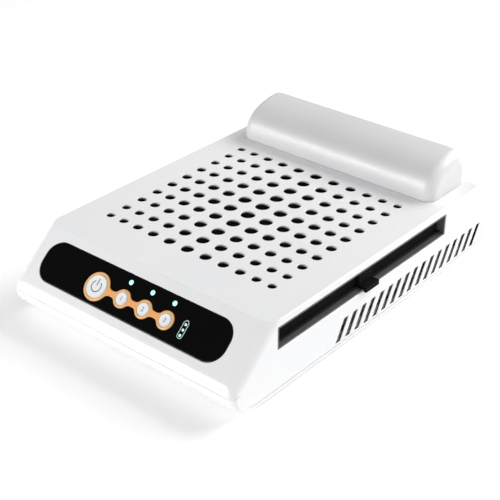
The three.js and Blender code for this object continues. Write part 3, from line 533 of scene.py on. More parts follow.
def key_print():
    """Grey pad-printed ink, slightly broken at its edges."""
    s = Surface("key_print_grey", (0.11, 0.11, 0.12), 0.55)
    return s.tint(s.noise(2500, 3), (0.19, 0.19, 0.2), 0.5, 0.75).material


def window_print():
    """White ink printed on the window, with a faint emission that is a painted glow."""
    s = Surface("white_ink_painted_glow", (0.72, 0.76, 0.76), 0.5,
                Emission_Color=(0.7, 0.9, 0.9, 1), Emission_Strength=0.12)
    return s.tint(s.noise(2500, 3), (0.6, 0.65, 0.65), 0.5, 0.75).material


def lens_aqua():
    """A lit light pipe."""
    s = Surface("lit_aqua_lens", (0.42, 0.86, 0.83), 0.18,
                Emission_Color=(0.36, 0.92, 0.86, 1), Emission_Strength=0.55)
    s.tint(s.noise(900, 2), (0.5, 0.92, 0.88))
    return s.bump(s.noise(1500, 2), 0.01).material


def black_abs():
    """Spark-eroded black ABS, as on the inner mouldings."""
    s = Surface("textured_black_abs", (0.0085, 0.0085, 0.009), 0.5, Specular_IOR_Level=0.25)
    s.tint(s.noise(90, 3), (0.012, 0.012, 0.0125))
    s.polish(s.noise(1500, 3), 0.45, 0.62)
    return s.bump(s.noise(3200, 4, 0.6), 0.03).material


def matte_black():
    """Heavily textured black ABS that hardly shines, as on the drawer."""
    s = Surface("matte_black_abs", (0.0055, 0.0055, 0.006), 0.8, Specular_IOR_Level=0.07)
    s.tint(s.noise(90, 3), (0.008, 0.008, 0.0085))
    s.polish(s.noise(1500, 3), 0.7, 0.9)
    return s.bump(s.noise(3200, 4, 0.6), 0.03).material


def bay_grey():
    """The slot's lining: graphite-grey ABS."""
    s = Surface("graphite_abs", (0.12, 0.12, 0.122), 0.42)
    s.tint(s.noise(120, 3), (0.1, 0.1, 0.102))
    return s.bump(s.noise(2800, 4, 0.6), 0.03).material


def inner_black():
    """The light-blocking black coat inside the white shells."""
    s = Surface("inner_black_coat", (0.006, 0.006, 0.006), 0.8, Specular_IOR_Level=0.2)
    s.tint(s.noise(200, 4), (0.01, 0.01, 0.01))
    return s.bump(s.noise(900, 4), 0.03).material


def hole_coat():
    """The black coat on each suction hole's lower wall, fading to white up the wall and higher on one side:
    the fade and its lean are painted shade.
    """
    s = Surface("black_coat_painted_shade", (0.006, 0.006, 0.006), 0.6, Specular_IOR_Level=0.2)
    z = s.node("SeparateXYZ", "Z", s.place)
    # Painted shade: the wall goes from black low down to white near the rim.
    height = s.fitted(z, -0.05, 0.75, (DECK_Z - HOLE_WALL) * MM, (DECK_Z - HOLE_RIM) * MM)
    normal = s.node("TexCoord", "Normal")
    # Painted shade: walls that face HOLE_SHADE stay black higher up.
    side = s.node("VectorMath", "Value", normal, HOLE_SHADE, operation="DOT_PRODUCT")
    fade = s.node("Math", "Value", height, side, operation="SUBTRACT")
    return s.tint(fade, (0.85, 0.85, 0.855), 0, 1).material


def pad_leather():
    """Pearl-grey polyurethane leather with a fine pebbled grain."""
    s = Surface("pearl_grey_leather", (0.74, 0.74, 0.75), 0.42, Metallic=0.1)
    s.tint(s.noise(16, 3), (0.71, 0.712, 0.72))
    s.polish(s.noise(420, 3), 0.4, 0.54)
    s.bump(s.cell_edges(950), 0.03, 0.8)
    return s.bump(s.noise(330, 4), 0.05, 0.8).material


def rubber():
    s = Surface("foot_rubber", (0.02, 0.02, 0.021), 0.8)
    s.tint(s.noise(500, 4), (0.034, 0.034, 0.035))
    return s.bump(s.noise(2600, 4), 0.05).material


def steel():
    """Plated steel with fine machining marks."""
    s = Surface("plated_steel", (0.62, 0.62, 0.63), 0.3, Metallic=1.0)
    s.tint(s.noise(400, 3), (0.54, 0.54, 0.56))
    s.polish(s.noise(1400, 4, 0.6, s.stretched(1, 1, 6)), 0.2, 0.42)
    return s.bump(s.noise(2200, 3, 0.5, s.stretched(1, 1, 8)), 0.006).material


def ferrite():
    s = Surface("magnet_ferrite", (0.045, 0.045, 0.05), 0.6, Metallic=0.4)
    s.tint(s.noise(700, 4), (0.07, 0.07, 0.078))
    return s.bump(s.noise(2600, 3), 0.02).material


def copper():
    """Enamelled copper windings, one turn about 0.5 mm wide."""
    s = Surface("enamelled_copper", (0.7, 0.28, 0.13), 0.34, Metallic=0.9)
    s.tint(s.noise(600, 3), (0.6, 0.21, 0.09))
    return s.bump(s.bands(320, "Z"), 0.12).material


def circuit_board():
    """Green solder mask over straight copper tracks."""
    s = Surface("solder_mask_green", (0.012, 0.1, 0.046), 0.3)
    tracks = s.bands(120, "X")
    s.tint(tracks, (0.02, 0.15, 0.07), 0.8, 0.86)
    s.polish(s.noise(300, 3), 0.26, 0.4)
    s.bump(s.fitted(tracks, 0, 1, 0.8, 0.86), 0.03)
    return s.bump(s.noise(1400, 2), 0.006).material


def cell_wrap():
    """Shrink wrap with small wrinkles at its ends."""
    s = Surface("blue_shrink_wrap", (0.02, 0.13, 0.36), 0.28)
    s.tint(s.noise(70, 3), (0.015, 0.1, 0.3))
    return s.bump(s.noise(240, 4, 0.6, s.stretched(0.25, 1, 1)), 0.06).material


def lead_black():
    s = Surface("lead_pvc_black", (0.018, 0.018, 0.019), 0.45)
    s.tint(s.noise(300, 3), (0.03, 0.03, 0.031))
    return s.bump(s.noise(900, 3), 0.03).material


def filter_paper():
    """Pleated filter paper: pressed white fibres."""
    s = Surface("filter_paper", (0.76, 0.75, 0.71), 0.92)
    s.tint(s.noise(900, 5, 0.7, s.stretched(1, 0.25, 1)), (0.64, 0.63, 0.59))
    return s.bump(s.noise(1700, 5, 0.7, s.stretched(1, 0.3, 1)), 0.12).material


def filter_mesh():
    """Black nylon strands."""
    s = Surface("nylon_mesh_black", (0.006, 0.006, 0.0065), 0.7, Specular_IOR_Level=0.15)
    s.tint(s.noise(800, 3), (0.01, 0.01, 0.0105))
    return s.bump(s.noise(3000, 2), 0.02).material


GLOSS_WHITE = gloss_white()
WINDOW_ACRYLIC = window_acrylic()
TRIM_ORANGE = trim_orange()
TRIM_PALE = trim_pale()
KEY_WHITE = key_white()
KEY_PRINT = key_print()
WINDOW_PRINT_GLOW = window_print()
LENS_AQUA = lens_aqua()
BLACK_ABS = black_abs()
MATTE_BLACK = matte_black()
HOLE_COAT_AND_SHADE = hole_coat()
BAY_GREY = bay_grey()
INNER_BLACK = inner_black()
PAD_LEATHER = pad_leather()
RUBBER = rubber()
STEEL = steel()
FERRITE = ferrite()
COPPER = copper()
CIRCUIT_BOARD = circuit_board()
CELL_WRAP = cell_wrap()
LEAD_BLACK = lead_black()
FILTER_PAPER = filter_paper()
FILTER_MESH = filter_mesh()

# ---------------- the case outline


def wall_normal(deck_y, side):
    """Angle of the outward normal of the straight wall from the deck's edge to the nose circle."""
    dy = deck_y - side * NOSE_Y
    dz = DECK_Z - SEAM_Z
    return math.atan2(dz, dy) - side * math.acos(NOSE_RADIUS / math.hypot(dy, dz))


PANEL_NORMAL = wall_normal(DECK_FRONT_Y, -1)
BACK_NORMAL = wall_normal(DECK_REAR_Y, 1)

# The panel's own frame: x across, y up the slope from its lower edge, z outwards.
PANEL_FOOT_Y = -NOSE_Y + NOSE_RADIUS * math.cos(PANEL_NORMAL)
PANEL_FOOT_Z = SEAM_Z + NOSE_RADIUS * math.sin(PANEL_NORMAL)
PANEL = shift(0, PANEL_FOOT_Y, PANEL_FOOT_Z) @ Matrix.Rotation(PANEL_NORMAL - QUARTER, 4, "X")

# The back wall's own frame: x towards -X, y up the wall, z outwards.
BACK_FOOT_Y = NOSE_Y + NOSE_RADIUS * math.cos(BACK_NORMAL)
BACK_FOOT_Z = SEAM_Z + NOSE_RADIUS * math.sin(BACK_NORMAL)
BACK = Matrix((
    (-1, 0, 0, 0),
    (0, -math.sin(BACK_NORMAL), math.cos(BACK_NORMAL), BACK_FOOT_Y),
    (0, math.cos(BACK_NORMAL), math.sin(BACK_NORMAL), BACK_FOOT_Z),
    (0, 0, 0, 1),
))


def drop(radius, depth):
    """How far an edge of that radius has dropped at this depth from the side of the case."""
    if depth >= radius:
        return 0.0
    return radius - math.sqrt(radius * radius - (radius - depth) ** 2)


def meet_deck(side, normal, wall_inset, deck_inset):
    """Where a straight wall, moved in by wall_inset, meets the deck, moved down by deck_inset."""
    radius = NOSE_RADIUS - wall_inset
    foot_y = side * NOSE_Y + radius * math.cos(normal)
    foot_z = SEAM_Z + radius * math.sin(normal)
    z = DECK_Z - deck_inset
    return foot_y - (z - foot_z) * math.tan(normal), z


def rounded_corner(corner, before, after, radius, steps=4):
    """Points of a short curve that rounds a corner, starting and ending that far from it."""
    c = Vector(corner)
    a = c + (Vector(before) - c).normalized() * radius
    b = c + (Vector(after) - c).normalized() * radius
    points = []
    for i in range(steps + 1):
        t = i / steps
        points.append(tuple(a * (1 - t) ** 2 + c * 2 * t * (1 - t) + b * t * t))
    return points


def nose(side, wall_inset, seam_inset, normal, steps=14):
    """The arc from a straight wall to just above the seam, its inset fading from one to the other."""
    flat = HALF_TURN if side < 0 else 0
    last = flat + side * math.asin(NOSE_STOP / NOSE_RADIUS)
    points = []
    for i in range(steps + 1):
        t = i / steps
        radius = NOSE_RADIUS - wall_inset - (seam_inset - wall_inset) * t
        a = normal + (last - normal) * t
        points.append((side * NOSE_Y + radius * math.cos(a), SEAM_Z + radius * math.sin(a)))
    return points


def keel(depth, inset, shave, steps=16):
    """The outline below the seam from front to back, in from the outside by inset."""
    points = []
    for side, start in ((-1, HALF_TURN), (1, HALF_TURN * 1.5)):
        ends = (NOSE_EDGE, KEEL_EDGE) if side < 0 else (KEEL_EDGE, BACK_EDGE)
        for i in range(steps + 1):
            t = i / steps
            edge = max(LIP_EDGE, ends[0] + (ends[1] - ends[0]) * t - shave)
            a = start + QUARTER * t
            move = inset + drop(edge, depth)
            ry = KEEL_LENGTH - move
            rz = KEEL_HEIGHT - move
            points.append((side * KEEL_Y + ry * math.cos(a), SEAM_Z + rz * math.sin(a)))
    return points


def upper_outline(depth, inset, shave):
    """The outline from the back seam over the deck to the front seam, in from the outside."""
    panel_inset = inset + drop(PANEL_EDGE - shave, depth)
    back_inset = inset + drop(max(LIP_EDGE, BACK_EDGE - shave), depth)
    deck_inset = inset + drop(max(LIP_EDGE, DECK_EDGE - shave), depth)
    seam_inset = inset + drop(max(LIP_EDGE, NOSE_EDGE - shave), depth)
    front = meet_deck(-1, PANEL_NORMAL, panel_inset, deck_inset)
    back = meet_deck(1, BACK_NORMAL, back_inset, deck_inset)
    below_front = (front[0] - math.sin(PANEL_NORMAL), front[1] + math.cos(PANEL_NORMAL))
    below_back = (back[0] + math.sin(BACK_NORMAL), back[1] - math.cos(BACK_NORMAL))
    points = list(reversed(nose(1, back_inset, back_inset, BACK_NORMAL)))
    points += rounded_corner(back, below_back, front, DECK_EDGE)
    points += rounded_corner(front, back, below_front, CREASE_EDGE)
    points += nose(-1, panel_inset, seam_inset, PANEL_NORMAL)
    return points, seam_inset, back_inset


def top_outline(depth):
    """The top shell from the side: full above the seam, and drawn in below it."""
    upper, front_inset, back_inset = upper_outline(depth, 0, 0)
    seam = SEAM_Z + GAP / 2
    cheek = WALL + GAP + drop(LIP_EDGE, depth)
    lower = keel(depth, cheek, 0)
    lower[0] = (lower[0][0], seam)
    lower[-1] = (lower[-1][0], seam)
    front_corner = (-HALF_DEPTH + front_inset, seam)
    back_corner = (HALF_DEPTH - back_inset, seam)
    points = list(upper)
    points += rounded_corner(front_corner, upper[-1], lower[0], LIP_EDGE)
    points += lower
    points += rounded_corner(back_corner, lower[-1], upper[0], LIP_EDGE)
    return points


def inner_outline(depth):
    """The hollow inside both shells from the side."""
    upper, _, _ = upper_outline(depth, WALL, WALL)
    return upper + keel(depth, WALL, WALL)


def band_outline(depth):
    """The bottom shell from the side: a U-shaped band under the seam."""
    lip = drop(LIP_EDGE, depth)
    outer = keel(depth, 0, 0)
    inner = list(reversed(keel(depth, WALL - lip, 0)))
    seam = SEAM_Z - GAP / 2
    for line in (outer, inner):
        line[0] = (line[0][0], seam)
        line[-1] = (line[-1][0], seam)
    back = rounded_corner(outer[-1], outer[-2], inner[0], LIP_EDGE)
    front = rounded_corner(outer[0], inner[-1], outer[1], LIP_EDGE)
    return front + outer[1:-1] + back + inner


# ---------------- the two shells


def graded(count, pitch, tightening):
    """Places along one axis of the hole grid, closer together towards its ends."""
    steps = [i - (count - 1) / 2 for i in range(count)]
    return [step * (pitch - tightening * abs(step)) for step in steps]


def flared_hole(x, y, radius):
    """A cutter for the white upper part of a hole, whose rim opens out in a quarter circle."""
    bottom = DECK_Z - HOLE_SKIN - COAT_STEP
    mouth = radius + HOLE_RIM
    profile = [(0, bottom), (radius, bottom)]
    profile += arc(mouth, DECK_Z - HOLE_RIM + 0.01, HOLE_RIM, HALF_TURN, QUARTER, 5)
    profile += [(mouth, DECK_Z + OVERCUT), (0, DECK_Z + OVERCUT)]
    return moved(turned(profile, 36), shift(x, y))


def hole_columns_and_rows():
    columns = graded(HOLE_COLUMNS, HOLE_PITCH[0], HOLE_TIGHTENING[0])
    return columns, graded(HOLE_ROWS, HOLE_PITCH[1], HOLE_TIGHTENING[1])


def hole_field():
    """The pocket that thins the deck from below under the whole grid."""
    columns, rows = hole_columns_and_rows()
    x, y = HOLE_CENTRE
    rx, ry = columns[-1] + HOLE_MARGIN, rows[-1] + HOLE_MARGIN
    return block(x - rx, x + rx, y - ry, y + ry, DECK_Z - WALL - OVERCUT, DECK_Z - HOLE_WALL)


def hole_places():
    """The centre and radius of each suction hole; they shrink away from the middle."""
    columns, rows = hole_columns_and_rows()
    for x in columns:
        for y in rows:
            shrink = HOLE_SHRINK[0] * abs(x) / columns[-1] + HOLE_SHRINK[1] * abs(y) / rows[-1]
            yield HOLE_CENTRE[0] + x, HOLE_CENTRE[1] + y, (HOLE_DIAMETER - shrink) / 2


def coated_holes():
    """The lower part of the holes, which the black coat inside the shell reaches, fading up the walls as
    painted shade.
    """
    return [plate(circle(x, y, radius - COAT_STEP, 36), DECK_Z - WALL - OVERCUT, DECK_Z - HOLE_SKIN)
            for x, y, radius in hole_places()]


def side_cutter(outline, side, chamfer, depth=WALL + OVERCUT):
    """A cutter into one side wall whose outer edge opens out in a chamfer."""
    grown = offset(outline, chamfer)
    levels = (
        (HALF_WIDTH - depth, outline),
        (HALF_WIDTH - chamfer, outline),
        (HALF_WIDTH + 0.01, grown),
        (HALF_WIDTH + OVERCUT, grown),
    )
    return loft([[(side * x, y, z) for y, z in points] for x, points in levels])


def leaning(y0, y1, z0, z1):
    """A parallelogram in Y and Z that leans back as the vents do."""
    slope = VENT_LEAN / (VENT_Z[1] - VENT_Z[0])
    low = slope * (z0 - VENT_Z[0])
    high = slope * (z1 - VENT_Z[0])
    return [(y0 + low, z0), (y1 + low, z0), (y1 + high, z1), (y0 + high, z1)]


def into_sides(outline, outer_x):
    """Cutters into both side walls from inside, as far as outer_x."""
    levels = (HALF_WIDTH - WALL - OVERCUT, outer_x)
    return [loft([[(side * x, y, z) for y, z in outline] for x in levels]) for side in (-1, 1)]


def vent_fields():
    """The pockets that thin both side walls round the vents, from inside."""
    z0, z1 = VENT_Z
    last = VENT_FIRST_Y + (VENT_COUNT - 1) * VENT_PITCH + VENT_WIDTH
    field = leaning(VENT_FIRST_Y - VENT_MARGIN, last + VENT_MARGIN, z0 - VENT_MARGIN, z1 + VENT_MARGIN)
    return into_sides(field, HALF_WIDTH - VENT_WALL)


def vent_outlines():
    for i in range(VENT_COUNT):
        y = VENT_FIRST_Y + i * VENT_PITCH
        yield leaning(y, y + VENT_WIDTH, *VENT_Z)


def vent_cutters():
    """The white outer part of the vents."""
    return [side_cutter(outline, side, VENT_CHAMFER, VENT_SKIN + COAT_STEP)
            for outline in vent_outlines() for side in (-1, 1)]


def coated_vents():
    """The inner part of the vents, which the black coat reaches."""
    return [cutter for outline in vent_outlines()
            for cutter in into_sides(offset(outline, -COAT_STEP), HALF_WIDTH - VENT_SKIN)]


def slot_cutter():
    (y0, y1), (z0, z1) = SLOT_Y, SLOT_Z
    return side_cutter([(y0, z0), (y1, z0), (y1, z1), (y0, z1)], 1, SLOT_CHAMFER)


def window_outline(grow):
    width, height = (size + 2 * grow for size in WINDOW_SIZE)
    return rounded_rectangle(*WINDOW_CENTRE, width, height, WINDOW_RADIUS + grow)


def recess_cutter():
    """The window's seat, with a small chamfer round its mouth."""
    seat = window_outline(GAP)
    mouth = window_outline(GAP + 0.3)
    levels = ((-WINDOW_THICKNESS - GAP, seat), (-0.3, seat), (0.01, mouth), (OVERCUT, mouth))
    return moved(loft([[(x, y, z) for x, y in points] for z, points in levels]), PANEL)


def hidden_openings():
    """The opening behind the window and the holes in the deck for the hand rest's screws."""
    opening = moved(plate(window_outline(-WINDOW_LEDGE), -WALL - OVERCUT, 0), PANEL)
    y = (REST_LO.y + REST_HI.y) / 2
    holes = [plate(circle(x, y, SCREW_HOLE, 16), DECK_Z - WALL - OVERCUT, DECK_Z + OVERCUT)
             for x in (-REST_SCREW_X, REST_SCREW_X)]
    return [opening, *holes]


def screw_posts():
    return [plate(circle(x, y, POST_RADIUS, 24), POST_BOTTOM_Z, top)
            for y, top in zip(POST_Y, POST_TOP_Z) for x in (-POST_X, POST_X)]


def socket_hole():
    return moved(plate(circle(-SOCKET_X, SOCKET_HEIGHT, SOCKET_BARREL + GAP), -WALL - 2, OVERCUT), BACK)


def make_top_shell():
    edges = (PANEL_EDGE, NOSE_EDGE, DECK_EDGE, LIP_EDGE)
    shell = finished("top_cover", across(top_outline, HALF_WIDTH, edges), GLOSS_WHITE)
    inside = (PANEL_EDGE - WALL, NOSE_EDGE - WALL)
    carve(shell, across(inner_outline, HALF_WIDTH - WALL, inside, 4), material=INNER_BLACK)
    carve(shell, together(screw_posts()), "UNION", INNER_BLACK)
    carve(shell, together([hole_field(), *vent_fields()]), material=INNER_BLACK)
    carve(shell, together(coated_vents()), material=INNER_BLACK)
    # The holes' lower walls take the black coat and its painted shade.
    carve(shell, together(coated_holes()), material=HOLE_COAT_AND_SHADE)
    carve(shell, together([slot_cutter(), recess_cutter(), socket_hole(), *vent_cutters()]))
    carve(shell, together([*(flared_hole(*hole) for hole in hole_places()), *hidden_openings()]))
    return fit(even_normals(shell), "case", "shell_white", "top_shell")


def post_places():
    return [(x, y) for y in POST_Y for x in (-POST_X, POST_X)]


def make_bottom_shell():
    edges = (NOSE_EDGE, KEEL_EDGE, LIP_EDGE)
    shell = finished("bottom_cover", across(band_outline, HALF_WIDTH, edges), GLOSS_WHITE)
    wells = [plate(circle(x, y, WELL_RADIUS, 32), FLOOR_Z + 1, WELL_TOP_Z) for x, y in post_places()]
    bosses = [plate(circle(x, y, 3, 24), FLOOR_Z + 1, MOTOR_BASE_Z - GAP) for x, y in motor_screw_places()]
    carve(shell, together(wells + bosses), "UNION")
    holes = []
    for x, y in post_places():
        holes.append(moved(turned(COUNTERBORE, 32), shift(x, y)))
    for x, y in motor_screw_places():
        holes.append(plate(circle(x, y, SCREW_HOLE, 16), FLOOR_Z + 1.6, SEAM_Z))
    for x, y in foot_places():
        holes.append(plate(circle(x, y, FOOT_RADIUS + GAP, 48), 0, FOOT_HI.z + GAP))
    carve(shell, together(holes))
    return fit(even_normals(shell), "case", "shell_white", "bottom_shell")


def foot_places():
    return [(x, y) for y in (-FOOT_Y, FOOT_Y) for x in (-FOOT_X, FOOT_X)]


def motor_screw_places():
    return arc(*FAN, MOTOR_SCREW_RADIUS, QUARTER, QUARTER + TURN, 3)[:-1]


def make_feet():
    """Rubber feet with a rounded rim and a shallow dished sole."""
    r = FOOT_RADIUS
    top = FOOT_HI.z
    profile = [(0, 0.35), (r - 3.2, 0.35), (r - 2.8, 0.05), (r - 2.5, 0), (r - 1, 0)]
    profile += [(r - 0.45, 0.15), (r - 0.12, 0.5), (r, 1), (r, top - 0.3), (r - 0.3, top), (0, top)]
    for i, (x, y) in enumerate(foot_places(), 1):
        foot = finished(f"rubber_foot_{i}", moved(turned(profile, 48), shift(x, y)), RUBBER)
        fit(foot, "case", "rubber_foot", f"foot_{i}")


def screw(length, head=2.9, height=SCREW_HEAD, shank=1.25, pitch=0.5):
    """A pan-head screw that points up from z = 0 under its head, with a thread of plain rings."""
    profile = [(0, -height), (head - 0.9, -height), (head - 0.3, -height + 0.35)]
    profile += [(head, -height + 1), (head, -0.1), (head - 0.1, 0), (shank, 0)]
    for i in range(int((length - 1.5) / pitch)):
        z = 0.3 + i * pitch
        profile += [(shank, z), (shank - 0.22, z + pitch / 2)]
    profile += [(shank, length - 1), (0, length)]
    return turned(profile, 24)


def cross_recess(depth=1.0, arm=1.6, half=0.32, height=SCREW_HEAD):
    """Two crossed bars cut into a screw's head."""
    return [block(-x, x, -y, y, -height - 0.5, -height + depth) for x, y in ((arm, half), (half, arm))]


def make_screw(name, node, length, matrix):
    obj = finished(name, screw(length), STEEL)
    for bar in cross_recess():
        carve(obj, bar)
    move_mesh(obj, matrix)
    fit(obj, "case", "steel", node)


def make_screws():
    for i, (x, y) in enumerate(post_places(), 1):
        make_screw(f"cross_screw_{i}", f"case_screw_{i}", 12, shift(x, y, CASE_SCREW_Z))
    for i, (x, y) in enumerate(motor_screw_places(), 1):
        turn = Matrix.Rotation(HALF_TURN, 4, "X")
        make_screw(f"base_screw_{i}", f"motor_screw_{i}", 5, shift(x, y, MOTOR_SCREW_Z) @ turn)
    y = (REST_LO.y + REST_HI.y) / 2
    for i, x in enumerate((-REST_SCREW_X, REST_SCREW_X), 1):
        make_screw(f"pad_screw_{i}", f"rest_screw_{i}", 6, shift(x, y, DECK_Z - WALL - GAP))


# ---------------- control panel


def tangent_neck(x0, r0, x1, r1):
    """The upper side of the trim between two rims: fillet, neck, fillet, from left to right."""
    points = []
    level = TRIM_NECK + TRIM_FILLET
    for x, r, way in ((x0, r0, 1), (x1, r1, -1)):
        reach = math.sqrt((r + TRIM_FILLET) ** 2 - level ** 2)
        start = math.atan2(-level, -way * reach)
        points += arc(x + way * reach, level, TRIM_FILLET, start, -QUARTER, 8)[::way]
    return points


def trim_outline():
    """The trim's outline, counter-clockwise: rims round the keys, joined by filleted necks."""
    rims = [(POWER_X, POWER_RIM)] + [(x, SPEED_RIM) for x in SPEED_X]
    upper = []
    for k, (x, r) in enumerate(rims):
        left = HALF_TURN if k == 0 else HALF_TURN - rim_angle(r)
        right = 0 if k == len(rims) - 1 else rim_angle(r)
        upper += arc(x, 0, r, left, right, 24)
        if k + 1 < len(rims):
            upper += tangent_neck(x, r, *rims[k + 1])[1:-1]
    lower = [(x, -y) for x, y in upper[1:-1]]
    return [(x, KEY_Y + y) for x, y in lower + upper[::-1]]


def rim_angle(radius):
    """Where on a rim, from the X axis, the neck's fillet begins."""
    return math.asin((TRIM_NECK + TRIM_FILLET) / (radius + TRIM_FILLET))


def make_trim():
    """The orange trim that rings and joins the keys."""
    raised = plate(trim_outline(), -WINDOW_THICKNESS, TRIM_PROUD - 0.1, 0.25)
    trim = finished("trim_frame", raised, TRIM_ORANGE)
    holes = [plate(circle(POWER_X, KEY_Y, POWER_CAP + GAP, 64), -3, 3)]
    holes += [plate(circle(x, KEY_Y, SPEED_CAP + GAP, 48), -3, 3) for x in SPEED_X]
    carve(trim, together(holes))
    move_mesh(trim, PANEL)
    fit(even_normals(trim), "case", "trim_orange", "button_trim")


def make_beads():
    """A paler raised bead round each key."""
    beads = []
    base = TRIM_PROUD - 0.09
    for x, cap, rim in [(POWER_X, POWER_CAP, POWER_RIM)] + [(x, SPEED_CAP, SPEED_RIM) for x in SPEED_X]:
        inner = cap + GAP
        half = BEAD_SHARE * (rim - inner) / 2
        crest = arc(0, 0, 1, HALF_TURN, 0, 8)
        profile = [(inner + half * (1 + across), base + BEAD_HEIGHT * up) for across, up in crest]
        beads.append(moved(turned_ring(profile, 72), PANEL @ shift(x, KEY_Y)))
    fit(finished("trim_beads", together(beads), TRIM_PALE, 60), "case", "trim_orange")


def make_window():
    """The black window: a rounded plate with holes for the trim, the lenses and the gauge."""
    window = finished("window_pane", plate(window_outline(0), -WINDOW_THICKNESS, 0, 0.3), WINDOW_ACRYLIC)
    carve(window, plate(offset(trim_outline(), GAP), -3, 3))
    holes = [plate(circle(x, LED_Y, LED_RADIUS + 0.1, 32), -3, 3) for x in SPEED_X]
    holes += [plate(circle(GAUGE_X, y, GAUGE_RADIUS + 0.1, 24), -3, 3) for y in GAUGE_Y]
    carve(window, together(holes))
    move_mesh(window, PANEL)
    fit(even_normals(window), "case", "window_black", "control_window")


def make_lenses(dome=0.12):
    """Light pipes with domed ends."""
    places = [("status_lens", "led_lens", x, LED_Y, LED_RADIUS) for x in SPEED_X]
    places += [("charge_lens", "gauge_lens", GAUGE_X, y, GAUGE_RADIUS) for y in GAUGE_Y]
    for i, (name, node, x, y, r) in enumerate(places):
        number = i % 3 + 1
        end = [(r * out, dome * (up - 1)) for out, up in arc(0, 0, 1, 0, QUARTER, 6)]
        pipe = turned([(0, -3), (r, -3), *end], 32)
        lens = finished(f"{name}_{number}", moved(pipe, PANEL @ shift(x, y)), LENS_AQUA)
        fit(lens, "case", "lens_aqua", f"{node}_{number}")


def gauge_outline():
    """A battery's outline: round at its foot, drawn to a blunt point at its top."""
    half, blunt, shoulder, tip = 2.15, 0.75, 21.6, 23.7
    foot = arc(GAUGE_X, GAUGE_Y[0] - 0.1, half, HALF_TURN, TURN, 16)
    top = [(half, shoulder), (blunt, tip), (-blunt, tip), (-half, shoulder)]
    return foot + [(GAUGE_X + x, y) for x, y in top]


def make_gauge_mark():
    outer = gauge_outline()
    loops = []
    for (x0, y0), (x1, y1) in zip(outer, offset(outer, -0.36)):
        loops.append([(x0, y0, 0.005), (x1, y1, 0.005), (x1, y1, 0.045), (x0, y0, 0.045)])
    # The mark's white ink has a faint painted glow.
    mark = finished("gauge_mark", moved(loft(loops, ring=True), PANEL), WINDOW_PRINT_GLOW)
    fit(mark, "case", "window_black")


def key_cap(radius):
    """A cap with a rounded rim and a faintly dished face, on a flange and a stem."""
    flange_z = CAP_PROUD - 3.7
    profile = [(0, -6), (1.6, -6), (1.6, flange_z), (radius + 1, flange_z), (radius + 1, flange_z + 1)]
    profile += [(radius, flange_z + 1), *arc(radius - 0.6, CAP_PROUD - 0.6, 0.6, 0, QUARTER, 6)]
    profile += [(radius - 1.0, CAP_PROUD - 0.05), (radius * 0.55, CAP_PROUD - 0.11), (0, CAP_PROUD - 0.13)]
    return turned(profile, 64)


def print_ring(radius, width, z, start=0.0, sweep=TURN, steps=64):
    """A thin printed ring or arc at height z."""
    closed = sweep == TURN
    loops = []
    for i in range(steps if closed else steps + 1):
        a = start + sweep * i / steps
        rows = ((radius - width / 2, z), (radius + width / 2, z))
        ring = [(r * math.cos(a), r * math.sin(a), h) for r, h in rows]
        ring += [(r * math.cos(a), r * math.sin(a), h + 0.04) for r, h in reversed(rows)]
        loops.append(ring)
    return loft(loops, ring=closed)


def power_print(z):
    """The usual standby sign: an open ring with a bar through its gap."""
    gap = math.radians(38)
    arc = print_ring(3.95, 0.72, z, QUARTER + gap, TURN - 2 * gap)
    bar = plate([(-0.36, 0.6), (0.36, 0.6), (0.36, 5.4), (-0.36, 5.4)], z, z + 0.04)
    return together([arc, bar])


def digit_print(number, z, size=4.4):
    """A printed digit, centred, from Blender's own font."""
    curve = bpy.data.curves.new("digit", "FONT")
    curve.body = str(number)
    curve.size = size
    curve.extrude = 0.02
    curve.align_x = "CENTER"
    curve.align_y = "CENTER"
    text = bpy.data.objects.new("digit", curve)
    bpy.context.scene.collection.objects.link(text)
    bpy.context.view_layer.update()
    mesh = bpy.data.meshes.new_from_object(text.evaluated_get(bpy.context.evaluated_depsgraph_get()))
    bm = bmesh.new()
    bm.from_mesh(mesh)
    bpy.data.objects.remove(text)
    bpy.data.meshes.remove(mesh)
    xs = [v.co.x for v in bm.verts]
    ys = [v.co.y for v in bm.verts]
    return moved(bm, shift(-(min(xs) + max(xs)) / 2, -(min(ys) + max(ys)) / 2, z + 0.02))


def make_key(name, node, body, x, radius, mark):
    cap = finished(f"{name}_cap", moved(key_cap(radius), PANEL @ shift(x, KEY_Y)), KEY_WHITE)
    fit(cap, body, "button_white", node)
    ring = print_ring(radius - 0.42, 0.22, CAP_PROUD - 0.06)
    ink = finished(f"{name}_print", moved(together([ring, mark]), PANEL @ shift(x, KEY_Y)), KEY_PRINT)
    fit(ink, body, "button_white")


def make_keys():
    face = CAP_PROUD - 0.13
    make_key("power_key", "power_button", "power_key", POWER_X, POWER_CAP, power_print(face + 0.015))
    for i, x in enumerate(SPEED_X, 1):
        mark = digit_print(i, face + 0.01)
        make_key(f"speed_key_{i}", f"speed_button_{i}", f"speed_key_{i}", x, SPEED_CAP, mark)


# ---------------- hand rest


def bezier(a, b, c, d, steps):
    points = []
    for i in range(steps):
        t = i / steps
        weights = ((1 - t) ** 3, 3 * t * (1 - t) ** 2, 3 * t * t * (1 - t), t ** 3)
        points.append(tuple(sum(w * p[k] for w, p in zip(weights, (a, b, c, d))) for k in (0, 1)))
    return points


def rest_profile():
    """The pad from the side: an upright front that swells over to a ridge near its upright back."""
    front, rear, bottom, top = REST_LO.y, REST_HI.y, REST_LO.z, REST_HI.z
    ridge = (rear - 11, top)
    back = bezier((rear - 0.5, bottom), (rear + 0.2, bottom + 14), (rear, top - 3), ridge, 20)
    over = bezier(ridge, (front + 22, top - 1), (front - 1.5, bottom + 22), (front + 1, bottom), 34)
    return back + over + [(front + 1, bottom)]


